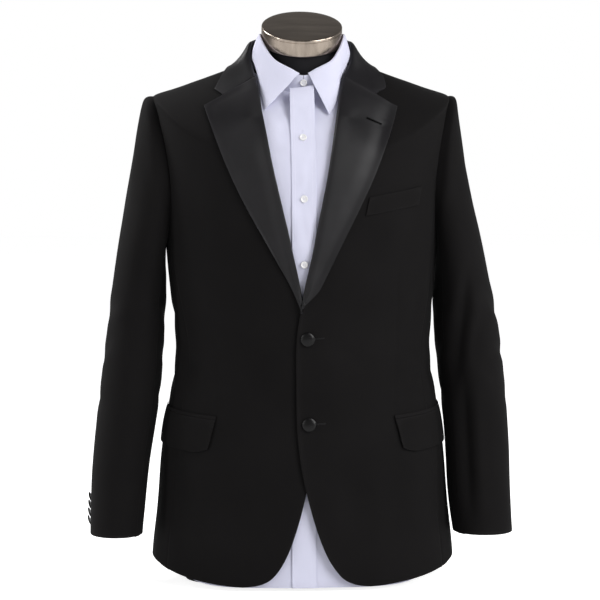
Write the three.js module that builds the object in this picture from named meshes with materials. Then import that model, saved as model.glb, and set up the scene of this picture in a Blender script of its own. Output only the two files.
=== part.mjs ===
// A two-button tuxedo jacket with satin notch lapels, worn over a white dress shirt,
// on a limbless torso form with a metal neck cap. Millimetres, +Z up, the front faces -Y.
// The origin is the middle of the form's flat foot. +X is the wearer's left.
//
// The jacket, the shirt and the form share one body surface. A place on it is an angle
// round the body (-90 front, 0 side, 90 back, in degrees) and a level, which is the height
// of that ring of the body where it passes the side.
import * as THREE from "three";

const WOOL = new THREE.MeshStandardMaterial({ color: 0x1b1a1c, roughness: 0.85, metalness: 0 });
const SATIN = new THREE.MeshStandardMaterial({ color: 0x242326, roughness: 0.35, metalness: 0 });
const SHIRTING = new THREE.MeshStandardMaterial({ color: 0xe6e6f2, roughness: 0.75, metalness: 0 });
const PEARL = new THREE.MeshStandardMaterial({ color: 0xf2f0ea, roughness: 0.25, metalness: 0 });
const JERSEY = new THREE.MeshStandardMaterial({ color: 0x1f1e21, roughness: 0.9, metalness: 0 });
const STEEL = new THREE.MeshStandardMaterial({ color: 0xa89c90, roughness: 0.3, metalness: 1 });

// Cloth thicknesses, and the gap at a seam.
const JACKET_CLOTH = 2.4;
const LAPEL_CLOTH = 2.2;
const SLEEVE_CLOTH = 2.2;
const TRIM_CLOTH = 1.2;
const SHIRT_CLOTH = 1.2;
const SEAM_GAP = 0.32;

// Levels of the body surface.
const HEM = 7;
const ARMPIT = 505;
const ARMHOLE_CORNER = 534;
const SHOULDER_TIP = 726;
const NECK = 777;
const NECK_EDGE = NECK - 0.2;

// Rings of the jacket's body. side_y is where the ring passes the side, front and back are
// its reach from there, the drops are how far it dips at the middle front and back, and
// square is the exponent of its outline: 2 is an ellipse, more is fuller at the corners.
const BODY_RINGS = [
  { level: 0, half_width: 228, side_y: 4, front: 146, back: 128, front_drop: 0, back_drop: 0, square: 2.25 },
  { level: 46, half_width: 225, side_y: 4, front: 145, back: 127, front_drop: 0, back_drop: 0, square: 2.25 },
  { level: 117, half_width: 217, side_y: 3, front: 142, back: 126, front_drop: 0, back_drop: 0, square: 2.25 },
  { level: 193, half_width: 211, side_y: 2, front: 139, back: 122, front_drop: 0, back_drop: 0, square: 2.25 },
  { level: 231, half_width: 207, side_y: 1, front: 137, back: 117, front_drop: 0, back_drop: 0, square: 2.25 },
  { level: 269, half_width: 199, side_y: 1, front: 135, back: 109, front_drop: 0, back_drop: 0, square: 2.2 },
  { level: 307, half_width: 193, side_y: 0, front: 133, back: 102, front_drop: 0, back_drop: 0, square: 2.2 },
  { level: 360, half_width: 189, side_y: 0, front: 132, back: 97, front_drop: 0, back_drop: 0, square: 2.2 },
  { level: 406, half_width: 193, side_y: 1, front: 135, back: 101, front_drop: 0, back_drop: 0, square: 2.2 },
  { level: 457, half_width: 200, side_y: 3, front: 141, back: 109, front_drop: 1, back_drop: 0, square: 2.25 },
  { level: 505, half_width: 203.5, side_y: 5, front: 145, back: 116, front_drop: 8, back_drop: 1, square: 2.3 },
  { level: 560, half_width: 208, side_y: 7, front: 146, back: 120, front_drop: 22, back_drop: 7, square: 2.3 },
  { level: 620, half_width: 213, side_y: 9, front: 144, back: 120, front_drop: 45, back_drop: 19, square: 2.3 },
  { level: 680, half_width: 218, side_y: 10, front: 140, back: 116, front_drop: 72, back_drop: 31, square: 2.25 },
  { level: 726, half_width: 221, side_y: 11, front: 133, back: 108, front_drop: 92, back_drop: 38, square: 2.2 },
  { level: 738, half_width: 187, side_y: 12, front: 124, back: 102, front_drop: 83, back_drop: 27, square: 2.15 },
  { level: 750, half_width: 154, side_y: 13, front: 112, back: 94, front_drop: 72, back_drop: 16, square: 2.1 },
  { level: 762, half_width: 122, side_y: 14, front: 95, back: 85, front_drop: 60, back_drop: 5, square: 2.05 },
  { level: 777, half_width: 80, side_y: 15, front: 72, back: 68, front_drop: 46, back_drop: -12, square: 2 },
];
// How sharply the shoulder's ridge turns down to the front and the back.
const RIDGE = 1.75;

// Each front's inner edge: its distance from the middle, and less than nothing is past it.
// From the hem up it is the cutaway, the buttoned edge and the roll line. The wearer's left
// front lies over the right one.
const FRONT_EDGE = [
  { z: 7, over: 96, under: 94 },
  { z: 10, over: 76, under: 73 },
  { z: 18, over: 57, under: 54 },
  { z: 33, over: 43, under: 40 },
  { z: 48, over: 33.5, under: 31 },
  { z: 62, over: 26.5, under: 25 },
  { z: 80, over: 19.5, under: 18 },
  { z: 100, over: 13, under: 12 },
  { z: 139, over: 2, under: 1.5 },
  { z: 166, over: -4, under: -4 },
  { z: 200, over: -9.5, under: -9.5 },
  { z: 236, over: -13.5, under: -13.5 },
  { z: 349, over: -14.5, under: -14.5 },
  { z: 380, over: -13.5, under: -13.5 },
  { z: 404, over: -9.8, under: -8 },
  { z: 415, over: -7.2, under: -3 },
  { z: 437, over: -2, under: 6.6 },
  { z: 489, over: 10, under: 19.4 },
  { z: 547, over: 22, under: 32.5 },
  { z: 605, over: 34, under: 46 },
  { z: 663, over: 44.5, under: 57.5 },
  { z: 721, over: 55, under: 67 },
  { z: 755, over: 62.5, under: 73 },
  { z: 772, over: 66, under: 77.5 },
];

// The lapels' outer edges, each row against a height on the roll line.
const LAPEL_EDGE = [
  { roll_z: 420, edge_z: 419, over: 0.5, under: 7.5 },
  { roll_z: 437, edge_z: 438, over: 14.5, under: 15 },
  { roll_z: 470, edge_z: 474, over: 33, under: 35.5 },
  { roll_z: 515, edge_z: 520, over: 56, under: 61 },
  { roll_z: 558, edge_z: 563, over: 77.5, under: 85 },
  { roll_z: 604, edge_z: 607, over: 98.5, under: 106.5 },
  { roll_z: 654, edge_z: 653, over: 117.5, under: 126 },
  { roll_z: 704, edge_z: 687, over: 130.5, under: 138.5 },
  { roll_z: 751, edge_z: 710, over: 138, under: 146 },
];

// Side seams at the hem and the armhole's reach to the front and back, in degrees.
const SIDE_SEAMS = { front: 27, back: 34 };
const ARMHOLE = { front: 23, back: 24 };

// Sleeve rings from the armhole to the cuff. out and in are the outermost point and the one
// nearest the body, y is the ring's middle and depth its reach to the front and back. bow is
// how much of the armhole's own curve the ring keeps.
const SLEEVE_RINGS = [
  {
    ring: 0, out_left: 221.7, out_right: 221.7, out_z: 725.5,
    in_left: 204, in_right: 204, in_z: 505, y: 4.5, depth: 59.5, bow: 1,
  },
  {
    ring: 1, out_left: 228, out_right: 229, out_z: 725,
    in_left: 204.6, in_right: 204.6, in_z: 500, y: 4.5, depth: 62, bow: 0.93,
  },
  {
    ring: 2, out_left: 232.5, out_right: 235.5, out_z: 720.5,
    in_left: 204.5, in_right: 204.5, in_z: 494, y: 4.5, depth: 65, bow: 0.82,
  },
  {
    ring: 3, out_left: 234.5, out_right: 239.5, out_z: 709,
    in_left: 204.2, in_right: 204.2, in_z: 488, y: 4.5, depth: 67.5, bow: 0.7,
  },
  {
    ring: 4, out_left: 237, out_right: 243.5, out_z: 690,
    in_left: 203.8, in_right: 203.8, in_z: 481, y: 4.5, depth: 69.5, bow: 0.55,
  },
  {
    ring: 5, out_left: 243, out_right: 250.5, out_z: 650,
    in_left: 203.2, in_right: 203.4, in_z: 472, y: 5, depth: 71.5, bow: 0.36,
  },
  {
    ring: 6, out_left: 250.5, out_right: 258, out_z: 605,
    in_left: 202.5, in_right: 202.9, in_z: 462, y: 6, depth: 73, bow: 0.2,
  },
  {
    ring: 7, out_left: 262, out_right: 267, out_z: 550,
    in_left: 201.6, in_right: 203, in_z: 449, y: 7, depth: 73.5, bow: 0.08,
  },
  {
    ring: 8, out_left: 276, out_right: 276.5, out_z: 490,
    in_left: 200.6, in_right: 203.8, in_z: 432, y: 8, depth: 72.5, bow: 0,
  },
  {
    ring: 9, out_left: 289.5, out_right: 286, out_z: 425,
    in_left: 199.8, in_right: 205, in_z: 408, y: 8, depth: 70.5, bow: 0,
  },
  {
    ring: 10, out_left: 301, out_right: 295.5, out_z: 350,
    in_left: 203.5, in_right: 208, in_z: 345, y: 5, depth: 66.5, bow: 0,
  },
  {
    ring: 11, out_left: 309, out_right: 304.5, out_z: 275,
    in_left: 211, in_right: 214.5, in_z: 275, y: -1, depth: 62.5, bow: 0,
  },
  {
    ring: 12, out_left: 312.5, out_right: 312.5, out_z: 200,
    in_left: 216.5, in_right: 226, in_z: 200, y: -11, depth: 58.5, bow: 0,
  },
  {
    ring: 13, out_left: 313.5, out_right: 317.5, out_z: 130,
    in_left: 220, in_right: 234.5, in_z: 130, y: -23, depth: 55, bow: 0,
  },
  {
    ring: 14, out_left: 316, out_right: 318, out_z: 74,
    in_left: 227, in_right: 240, in_z: 74, y: -33, depth: 52.5, bow: 0,
  },
];
const SLEEVE_STEPS = [0, 1, 2, 3, 4, 5, 6, 7, 8, 9, 9.7, 10.4, 11.2, 12, 12.7, 13.4, 14];
const SLEEVE_SQUARE = 2.1;
// The sleeve's two seams, as turns round it: 0 is outermost, -90 the front, 90 the back.
const SLEEVE_SEAMS = [
  { ring: 0, front: -128, back_left: 92, back_right: 92 },
  { ring: 5, front: -140, back_left: 86, back_right: 84 },
  { ring: 10, front: -142, back_left: 64, back_right: 58 },
  { ring: 14, front: -142, back_left: 34, back_right: 15 },
];

// The rolled edge of a lapel in section: inward distance from the roll line, and lift.
const ROLL = [
  { inward: 1.6, lift: -1.4 },
  { inward: 3.4, lift: 1.2 },
  { inward: 1.5, lift: 3.8 },
  { inward: -5, lift: 4.8 },
];
// How high the lapel's face lies above the body, by its share of the way out.
const FACE_LIFT = [
  { share: 0, lift: 4.8 },
  { share: 0.3, lift: 4.1 },
  { share: 0.6, lift: 3.7 },
  { share: 1, lift: 3.7 },
];
const OVERLAP_LIFT = JACKET_CLOTH + 0.8;

// The notch and the collar's tip beyond it.
const NOTCH = { over: { x: 107, z: 727.6 }, under: { x: 118, z: 726.6 } };
const COLLAR_TIP = { over: { x: 120, z: 742 }, under: { x: 130, z: 735 } };
const GORGE_Z = 752;

// Insets of the shirt's outer face and the form's surface from the body surface.
const INSETS = [
  { level: 0, shirt: 8, form: 52 },
  { level: 20, shirt: 8, form: 38 },
  { level: 60, shirt: 8, form: 25 },
  { level: 120, shirt: 8, form: 18 },
  { level: 200, shirt: 7.5, form: 15 },
  { level: 330, shirt: 6.5, form: 12 },
  { level: 420, shirt: 5.2, form: 10.5 },
  { level: 520, shirt: 5, form: 10 },
  { level: 700, shirt: 5, form: 10 },
  { level: 745, shirt: 5.8, form: 10.2 },
  { level: 777, shirt: 6, form: 10.5 },
];

// The shirt collar's fold line round the neck, and the neck and cap inside it.
const FOLD = {
  half_width: 62.8,
  side_y: -2,
  front: 58,
  back: 64,
  side_z: 816,
  front_drop: 59,
  back_drop: -3,
  square: 2.25,
};
const CAP = { radius: 60.2, height: 26, tilt: 22.5, y: 0, z: 806.2 };
const NECK_RADIUS = 53;

// The shirt collar's points and the edge above them, as seen from the front.
const LEAF_EDGE = [
  { angle: -85, x_left: 37, z_left: 701, x_right: 58, z_right: 709 },
  { angle: -68, x_left: 48, z_left: 719, x_right: 61.5, z_right: 726 },
  { angle: -50, x_left: 53.5, z_left: 738, x_right: 66, z_right: 742 },
  { angle: -34, x_left: 57.5, z_left: 754, x_right: 67.5, z_right: 757 },
];

// Pockets: the flap's top at its front corner, its size, and the welt's four corners.
const FLAP = { x: 131.5, z: 252, rise: 9, depth: 50, slant: 8, end: 3, corner: 7 };
const WELT = { low_in: [86.5, 552.5], low_out: [167, 567], top_in: [92.5, 579.5], top_out: [172, 594] };

const FRONT_BUTTONS = { radius: 10.5, thickness: 4.6, places: [[2, 373], [4, 248]] };
const CUFF_BUTTONS = { radius: 7.3, thickness: 2.5, tilt: 15.5, pitch: 11, lowest: 92, count: 4 };
const SHIRT_BUTTONS = { radius: 5.5, thickness: 2, x: -3, heights: [482, 578, 668], neck_z: 746 };
const PLACKET = { left: -21, right: 15, middle: -3 };

// Small vectors and tables.
const rad = (degrees) => (degrees * Math.PI) / 180;
const deg = (radians) => (radians * 180) / Math.PI;
const clamp = (value, low, high) => Math.min(high, Math.max(low, value));
const mix = (a, b, share) => a + (b - a) * share;
const ease = (value, low, high) => {
  const share = clamp((value - low) / (high - low), 0, 1);
  return share * share * (3 - 2 * share);
};
const power = (value, exponent) => Math.sign(value) * Math.abs(value) ** exponent;
const UP = new THREE.Vector3(0, 0, 1);

// One column of a table as a smooth curve that never overshoots its rows.
function column(rows, key, name) {
  const xs = rows.map((row) => row[key]);
  const ys = rows.map((row) => row[name]);
  const slopes = xs.slice(1).map((x, i) => (ys[i + 1] - ys[i]) / (x - xs[i]));
  const tangents = xs.map((_, i) => {
    const before = slopes[Math.max(0, i - 1)];
    const after = slopes[Math.min(slopes.length - 1, i)];
    return before * after <= 0 ? 0 : (2 * before * after) / (before + after);
  });
  return (x) => {
    let i = 0;
    while (i < slopes.length - 1 && x > xs[i + 1]) i += 1;
    const width = xs[i + 1] - xs[i];
    const t = clamp((x - xs[i]) / width, 0, 1);
    const t2 = t * t;
    const t3 = t2 * t;
    return (
      ys[i] * (2 * t3 - 3 * t2 + 1) +
      tangents[i] * width * (t3 - 2 * t2 + t) +
      ys[i + 1] * (3 * t2 - 2 * t3) +
      tangents[i + 1] * width * (t3 - t2)
    );
  };
}

// A whole table as one function that gives every named column.
function table(rows, key) {
  const names = Object.keys(rows[0]).filter((name) => name !== key);
  const columns = names.map((name) => [name, column(rows, key, name)]);
  return (x) => Object.fromEntries(columns.map(([name, curve]) => [name, curve(x)]));
}

const ring = table(BODY_RINGS, "level");
const frontEdge = table(FRONT_EDGE, "z");
const lapelEdge = table(LAPEL_EDGE, "roll_z");
const faceLift = table(FACE_LIFT, "share");
const sleeveRing = table(SLEEVE_RINGS, "ring");
const sleeveSeams = table(SLEEVE_SEAMS, "ring");
const insets = table(INSETS, "level");
const leafEdge = table(LEAF_EDGE, "angle");

// A place on the body surface, and the direction straight out of it there.
function bodyPoint(angle, level) {
  const r = ring(level);
  const c = Math.cos(rad(angle));
  const s = Math.sin(rad(angle));
  const reach = s < 0 ? r.front : r.back;
  const drop = s < 0 ? r.front_drop : r.back_drop;
  return new THREE.Vector3(
    r.half_width * power(c, 2 / r.square),
    r.side_y + reach * power(s, 2 / r.square),
    level - drop * Math.abs(s) ** RIDGE,
  );
}

function bodyNormal(angle, level) {
  const turn = 0.4;
  const rise = 0.6;
  const low = Math.max(0, level - rise);
  const high = Math.min(NECK, level + rise);
  const round = bodyPoint(angle + turn, level).sub(bodyPoint(angle - turn, level));
  const up = bodyPoint(angle, high).sub(bodyPoint(angle, low));
  return round.cross(up).normalize();
}

// The point of a place moved out from the body by lift, with its normal.
function lifted(angle, level, lift) {
  const normal = bodyNormal(angle, level);
  return { point: bodyPoint(angle, level).addScaledVector(normal, lift), normal };
}

// The angle at which a ring of the body is x from the middle, on its front.
function angleAt(x, level) {
  const r = ring(level);
  return -deg(Math.acos(power(clamp(x / r.half_width, -1, 1), r.square / 2)));
}

// The place on the front of the body that a front view shows at x, z.
function frontPlace(x, z) {
  let low = z - 2;
  let high = NECK;
  for (let step = 0; step < 30; step += 1) {
    const level = (low + high) / 2;
    if (bodyPoint(angleAt(x, level), level).z < z) low = level;
    else high = level;
  }
  return { angle: angleAt(x, low), level: low };
}

// A closed cloth wall. at(i, j) gives the outer point of column i and row j, and its normal
// or nothing, in which case the normal comes from the neighbouring points.
function cloth({ columns, rows, at, thickness, side = 1 }) {
  const outer = [];
  for (let j = 0; j <= rows; j += 1) {
    outer.push([]);
    for (let i = 0; i <= columns; i += 1) outer[j].push(at(i, j));
  }
  const normalOf = (i, j) => {
    if (outer[j][i].normal) return outer[j][i].normal;
    const across = outer[j][Math.min(columns, i + 1)].point.clone();
    across.sub(outer[j][Math.max(0, i - 1)].point);
    const along = outer[Math.min(rows, j + 1)][i].point.clone();
    along.sub(outer[Math.max(0, j - 1)][i].point);
    return across.cross(along).normalize();
  };
  const positions = [];
  const layers = [0, thickness].map((depth) =>
    outer.map((row, j) =>
      row.map((place, i) => {
        const p = place.point.clone().addScaledVector(normalOf(i, j), -depth);
        positions.push(p.x * side, p.y, p.z);
        return positions.length / 3 - 1;
      }),
    ),
  );
  const index = [];
  const quad = (a, b, c, d) => index.push(a, b, c, a, c, d);
  const [top, under] = layers;
  for (let j = 0; j < rows; j += 1) {
    for (let i = 0; i < columns; i += 1) {
      quad(top[j][i], top[j][i + 1], top[j + 1][i + 1], top[j + 1][i]);
      quad(under[j][i], under[j + 1][i], under[j + 1][i + 1], under[j][i + 1]);
    }
    quad(top[j + 1][0], under[j + 1][0], under[j][0], top[j][0]);
    quad(top[j][columns], under[j][columns], under[j + 1][columns], top[j + 1][columns]);
  }
  for (let i = 0; i < columns; i += 1) {
    quad(top[0][i], under[0][i], under[0][i + 1], top[0][i + 1]);
    quad(top[rows][i + 1], under[rows][i + 1], under[rows][i], top[rows][i]);
  }
  return facingOut(positions, index);
}

// A closed solid through rings of equally many points, the lowest first.
function stacked(rings) {
  const count = rings[0].length;
  const positions = [];
  const add = (p) => positions.push(p.x, p.y, p.z) / 3 - 1;
  const middle = (points) =>
    points.reduce((sum, p) => sum.add(p), new THREE.Vector3()).divideScalar(count);
  const ids = rings.map((points) => points.map(add));
  const index = [];
  for (let j = 0; j < rings.length - 1; j += 1) {
    for (let i = 0; i < count; i += 1) {
      const n = (i + 1) % count;
      index.push(ids[j][i], ids[j][n], ids[j + 1][n], ids[j][i], ids[j + 1][n], ids[j + 1][i]);
    }
  }
  const foot = add(middle(rings[0]));
  const head = add(middle(rings[rings.length - 1]));
  for (let i = 0; i < count; i += 1) {
    const n = (i + 1) % count;
    index.push(foot, ids[0][n], ids[0][i]);
    index.push(head, ids[rings.length - 1][i], ids[rings.length - 1][n]);
  }
  return facingOut(positions, index);
}

// The geometry of a closed mesh, turned so that its faces point out.
function facingOut(positions, index) {
  let volume = 0;
  const corner = (n) => new THREE.Vector3().fromArray(positions, index[n] * 3);
  for (let n = 0; n < index.length; n += 3) {
    volume += corner(n).dot(corner(n + 1).cross(corner(n + 2)));
  }
  if (volume < 0) {
    for (let n = 0; n < index.length; n += 3) {
      [index[n + 1], index[n + 2]] = [index[n + 2], index[n + 1]];
    }
  }
  const geometry = new THREE.BufferGeometry();
  geometry.setAttribute("position", new THREE.Float32BufferAttribute(positions, 3));
  geometry.setIndex(index);
  geometry.computeVertexNormals();
  return geometry;
}

const tuxedo = new THREE.Group();
function piece(name, geometry, material) {
  const mesh = new THREE.Mesh(geometry, material);
  mesh.name = name;
  tuxedo.add(mesh);
  return mesh;
}
const SIDES = [
  { side: 1, name: "left", front: "over" },
  { side: -1, name: "right", front: "under" },
];

// The armhole's edge to the front or back at a level, and its lowest level at an angle.
const ARMHOLE_SQUARE = { top: 2, bottom: 2.4 };
function armholeAngle(level, reach) {
  const across = (2 * (clamp(level, ARMPIT, SHOULDER_TIP) - ARMPIT)) / (SHOULDER_TIP - ARMPIT) - 1;
  const square = across < 0 ? ARMHOLE_SQUARE.bottom : ARMHOLE_SQUARE.top;
  return reach * (1 - Math.abs(across) ** square) ** (1 / square);
}
function armholeBottom(angle) {
  const reach = angle < 0 ? ARMHOLE.front : ARMHOLE.back;
  const square = ARMHOLE_SQUARE.bottom;
  const across = (1 - clamp(Math.abs(angle) / reach, 0, 1) ** square) ** (1 / square);
  return mix(ARMPIT, SHOULDER_TIP, (1 - across) / 2);
}

// Rows that the body panels share. The hem lies low in front and rises towards the back.
const LOW_ROWS = [HEM, 10, 17, 30, 52, 85, 130, 190, 250, 310, 360, 405, 440, 485, ARMHOLE_CORNER];
const NECK_ROWS = [736, 748, 757, 765, 771, NECK_EDGE];
const HIGH_ROWS = [572, 615, 655, 692, 715, SHOULDER_TIP, ...NECK_ROWS];
const PANEL_ROWS = [...LOW_ROWS, ...HIGH_ROWS];
const HEM_RISE = 33;
const HEM_FADE = 150;
function hemmed(row, angle) {
  const fade = clamp(1 - (row - HEM) / HEM_FADE, 0, 1);
  return row + HEM_RISE * ease(angle, -72, 10) * fade;
}

// Degrees that half a seam's gap takes at a level.
const seamTurn = (level) => deg(SEAM_GAP / 2 / (ring(level).half_width * 0.8));

// Where the front's or the back's row ends: side seam, then armhole, then shoulder seam.
function panelEnd(level, which) {
  const reach = ARMHOLE[which];
  const corner = armholeAngle(ARMHOLE_CORNER, reach);
  const seam = mix(SIDE_SEAMS[which], corner, ease(level, 300, ARMHOLE_CORNER));
  return (level < ARMHOLE_CORNER ? seam : armholeAngle(level, reach)) + seamTurn(level);
}

// The overlapping front rides over the other one near the middle.
function frontLift(x, z, front) {
  if (front === "under") return 0;
  return OVERLAP_LIFT * (1 - ease(x, 22, 75)) * (1 - ease(z, 440, 540));
}

// Where a row of the body meets a front's inner edge, setback in from it.
function edgeAngle(level, front, setback) {
  let low = -96;
  let high = -2;
  for (let step = 0; step < 34; step += 1) {
    const angle = (low + high) / 2;
    const p = bodyPoint(angle, level);
    if (p.x < frontEdge(p.z)[front] + setback) low = angle;
    else high = angle;
  }
  return (low + high) / 2;
}

// The front, from its edge to the side seam, armhole and shoulder. The roll line hides
// inside the lapel's rolled edge, so the panel stops a little short of it.
function jacketFront({ side, front }) {
  const columns = 10;
  const rollSetback = 1.6;
  return cloth({
    columns,
    rows: PANEL_ROWS.length - 1,
    thickness: JACKET_CLOTH,
    side,
    at: (i, j) => {
      const row = PANEL_ROWS[j];
      const inner = edgeAngle(row, front, rollSetback * ease(row, 402, 420));
      const angle = mix(inner, -panelEnd(row, "front"), i / columns);
      const level = hemmed(row, angle);
      const p = bodyPoint(angle, level);
      return lifted(angle, level, frontLift(p.x, p.z, front));
    },
  });
}

function jacketSide({ side }) {
  const columns = 4;
  const straightTo = 425;
  const corner = (which) => armholeAngle(ARMHOLE_CORNER, ARMHOLE[which]);
  return cloth({
    columns,
    rows: LOW_ROWS.length - 1,
    thickness: JACKET_CLOTH,
    side,
    at: (i, j) => {
      const row = LOW_ROWS[j];
      const gap = 2 * seamTurn(row);
      const front = -panelEnd(row - 0.01, "front") + gap;
      const back = panelEnd(row - 0.01, "back") - gap;
      const angle = mix(front, back, i / columns);
      const top = armholeBottom(mix(-corner("front"), corner("back"), i / columns));
      const share = clamp((row - straightTo) / (ARMHOLE_CORNER - straightTo), 0, 1);
      const level = row - share * (ARMHOLE_CORNER - top);
      return lifted(angle, hemmed(level, angle), 0);
    },
  });
}

function jacketBack({ side }) {
  const columns = 7;
  return cloth({
    columns,
    rows: PANEL_ROWS.length - 1,
    thickness: JACKET_CLOTH,
    side,
    at: (i, j) => {
      const row = PANEL_ROWS[j];
      const angle = mix(panelEnd(row, "back"), 90 - seamTurn(row), i / columns);
      return lifted(angle, hemmed(row, angle), 0);
    },
  });
}

// A lapel lies on its front, from the roll line to its outer edge.
function lapel({ side, front }) {
  const faceSteps = 5;
  const columns = ROLL.length - 1 + faceSteps;
  const rollHeights = {
    over: [420, 437, 460, 485, 515, 545, 575, 605, 635, 665, 693, 718, 737, 751],
    under: [435, 445, 460, 485, 515, 545, 575, 605, 635, 665, 693, 718, 737, 751],
  }[front];
  // The under lapel ends beside the other front's rolled edge.
  const clearOfOver = 7.4;
  return cloth({
    columns,
    rows: rollHeights.length - 1,
    thickness: LAPEL_CLOTH,
    side,
    at: (i, j) => {
      const rollZ = rollHeights[j];
      const edge = lapelEdge(rollZ);
      const edges = frontEdge(rollZ);
      const rollX = front === "under" ? Math.max(edges.under, clearOfOver - edges.over) : edges.over;
      const width = edge[front] - rollX;
      const squeeze = clamp(width / 12, 0.3, 1);
      // Where the lapel has left its own front's edge it lies flat, with no roll under it.
      const flat = clamp((rollX - edges[front]) / 1.5, 0, 1);
      const rolledIn = i < ROLL.length ? ROLL[i].inward * (i === 3 ? squeeze : 1) : 0;
      const inward = i < 3 ? mix(rolledIn, 2.6 - i, flat) : rolledIn;
      const start = (-ROLL[3].inward * squeeze) / width;
      const share = i < ROLL.length ? -inward / width : mix(start, 1, (i - 3) / faceSteps);
      const x = mix(rollX, edge[front], share);
      const z = mix(rollZ, edge.edge_z, share);
      const rolledLift = i < ROLL.length ? ROLL[i].lift : faceLift((i - 3) / faceSteps).lift;
      const lift = mix(rolledLift, Math.max(rolledLift, 4), flat);
      const { angle, level } = frontPlace(x, z);
      return { point: lifted(angle, level, lift + frontLift(x, z, front)).point };
    },
  });
}

// A point near the body's neck edge, moved inward and up from it.
function nearNeck(angle, inward, up) {
  const p = bodyPoint(angle, NECK);
  p.x -= inward * Math.cos(rad(angle));
  p.y -= inward * Math.sin(rad(angle));
  p.z += up;
  return p;
}

// How high the jacket collar's fold stands above the neck edge, by the angle round it.
const COLLAR_RISE = [
  { angle: -39, rise: 2 },
  { angle: -30, rise: 7 },
  { angle: -20, rise: 15 },
  { angle: -10, rise: 23 },
  { angle: 0, rise: 28 },
  { angle: 30, rise: 29 },
  { angle: 60, rise: 26 },
  { angle: 90, rise: 23 },
];
const collarRise = table(COLLAR_RISE, "angle");
// The collar's cross-sections: the angle of the fold on each front, and the outer edge.
const COLLAR_SECTIONS = [
  { section: 2, over: -27, under: -17, edge_angle: -18, edge_level: 760.5 },
  { section: 3, over: -17, under: -10, edge_angle: -11, edge_level: 764 },
  { section: 4, over: -7, under: -4, edge_angle: -3, edge_level: 766.5 },
  { section: 5, over: 4, under: 5, edge_angle: 7, edge_level: 767.5 },
  { section: 6, over: 16, under: 16, edge_angle: 19, edge_level: 767.5 },
  { section: 7, over: 32, under: 32, edge_angle: 35, edge_level: 767 },
  { section: 8, over: 50, under: 50, edge_angle: 53, edge_level: 766.5 },
  { section: 9, over: 70, under: 70, edge_angle: 71, edge_level: 766 },
  { section: 10, over: 90, under: 90, edge_angle: 90, edge_level: 766 },
];

// One section of the collar, from the foot of its stand over the fold to its outer edge.
function collarSection(number, front) {
  let base;
  let edge;
  let rise;
  if (number < 2) {
    const foldZ = number === 0 ? GORGE_Z : Math.min(757, GORGE_Z + 6);
    const corner = number === 0 ? NOTCH[front] : COLLAR_TIP[front];
    base = frontPlace(frontEdge(foldZ)[front] + 0.3, foldZ);
    edge = frontPlace(corner.x, corner.z);
    rise = number === 0 ? 1 : 4;
  } else {
    const row = COLLAR_SECTIONS[number - 2];
    base = { angle: row[front], level: NECK };
    edge = { angle: row.edge_angle, level: row.edge_level };
    const fromRoll = front === "under" ? 15 : 0;
    rise = collarRise(row[front] - fromRoll * (1 - ease(row[front], -17, 5))).rise;
  }
  const normal = bodyNormal(base.angle, base.level);
  const at = bodyPoint(base.angle, base.level);
  const toNeck = new THREE.Vector3(-Math.cos(rad(base.angle)), -Math.sin(rad(base.angle)), 0);
  const along = toNeck.clone().addScaledVector(normal, -toNeck.dot(normal)).normalize();
  const lean = UP.clone().addScaledVector(toNeck, 0.18);
  const standing = ease(rise, 2, 16);
  const shares = [0.1, 0.28, 0.52, 0.77, 1];
  const face = (share) => {
    const angle = mix(base.angle, edge.angle, share);
    const level = mix(base.level, edge.level, share);
    return lifted(angle, level, faceLift(share).lift).point;
  };
  // Low at the gorge the section is a lapel's rolled edge, and round the neck it stands up.
  const rolled = ROLL.slice(0, 3).map(({ inward, lift }) =>
    at.clone().addScaledVector(along, inward).addScaledVector(normal, lift),
  );
  rolled.splice(1, 0, rolled[0].clone().lerp(rolled[1], 0.5));
  const fold = at.clone().addScaledVector(lean, rise).addScaledVector(normal, 1.5);
  const foot = at.clone().addScaledVector(toNeck, 1.8).addScaledVector(UP, 1);
  const neckSide = fold.clone().addScaledVector(toNeck, 1.7).addScaledVector(UP, -4);
  const upright = [foot, foot.clone().lerp(neckSide, 0.5), neckSide, fold];
  const section = rolled.map((p, n) => p.lerp(upright[n], standing));
  for (const share of shares) {
    section.push(face(share).addScaledVector(lean, rise * (1 - share) ** 2 * standing));
  }
  return section;
}

function jacketCollar() {
  const last = COLLAR_SECTIONS.length + 1;
  const sections = [];
  for (let n = 0; n <= last; n += 1) sections.push(collarSection(n, "over"));
  for (let n = last - 1; n >= 0; n -= 1) {
    sections.push(collarSection(n, "under").map((p) => p.setX(-p.x)));
  }
  return cloth({
    columns: sections[0].length - 1,
    rows: sections.length - 1,
    thickness: LAPEL_CLOTH,
    at: (i, j) => ({ point: sections[j][i] }),
  });
}

// A point on a sleeve's outer face. Its first ring is the armhole itself.
function sleevePoint(ringNumber, turn, name) {
  const r = sleeveRing(ringNumber);
  const first = sleeveRing(0);
  const c = power(Math.cos(rad(turn)), 2 / SLEEVE_SQUARE);
  const s = power(Math.sin(rad(turn)), 2 / SLEEVE_SQUARE);
  const flat = (k) =>
    new THREE.Vector3(
      mix(k[`in_${name}`], k[`out_${name}`], (1 + c) / 2),
      k.y + k.depth * s,
      mix(k.in_z, k.out_z, (1 + c) / 2),
    );
  const level = mix(ARMPIT, SHOULDER_TIP, (1 + Math.cos(rad(turn))) / 2);
  const reach = Math.sin(rad(turn)) < 0 ? -ARMHOLE.front : ARMHOLE.back;
  const hole = bodyPoint(Math.sign(reach) * armholeAngle(level, Math.abs(reach)), level);
  hole.x += SEAM_GAP * 1.5;
  return flat(r).addScaledVector(hole.sub(flat(first)), r.bow);
}

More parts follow.
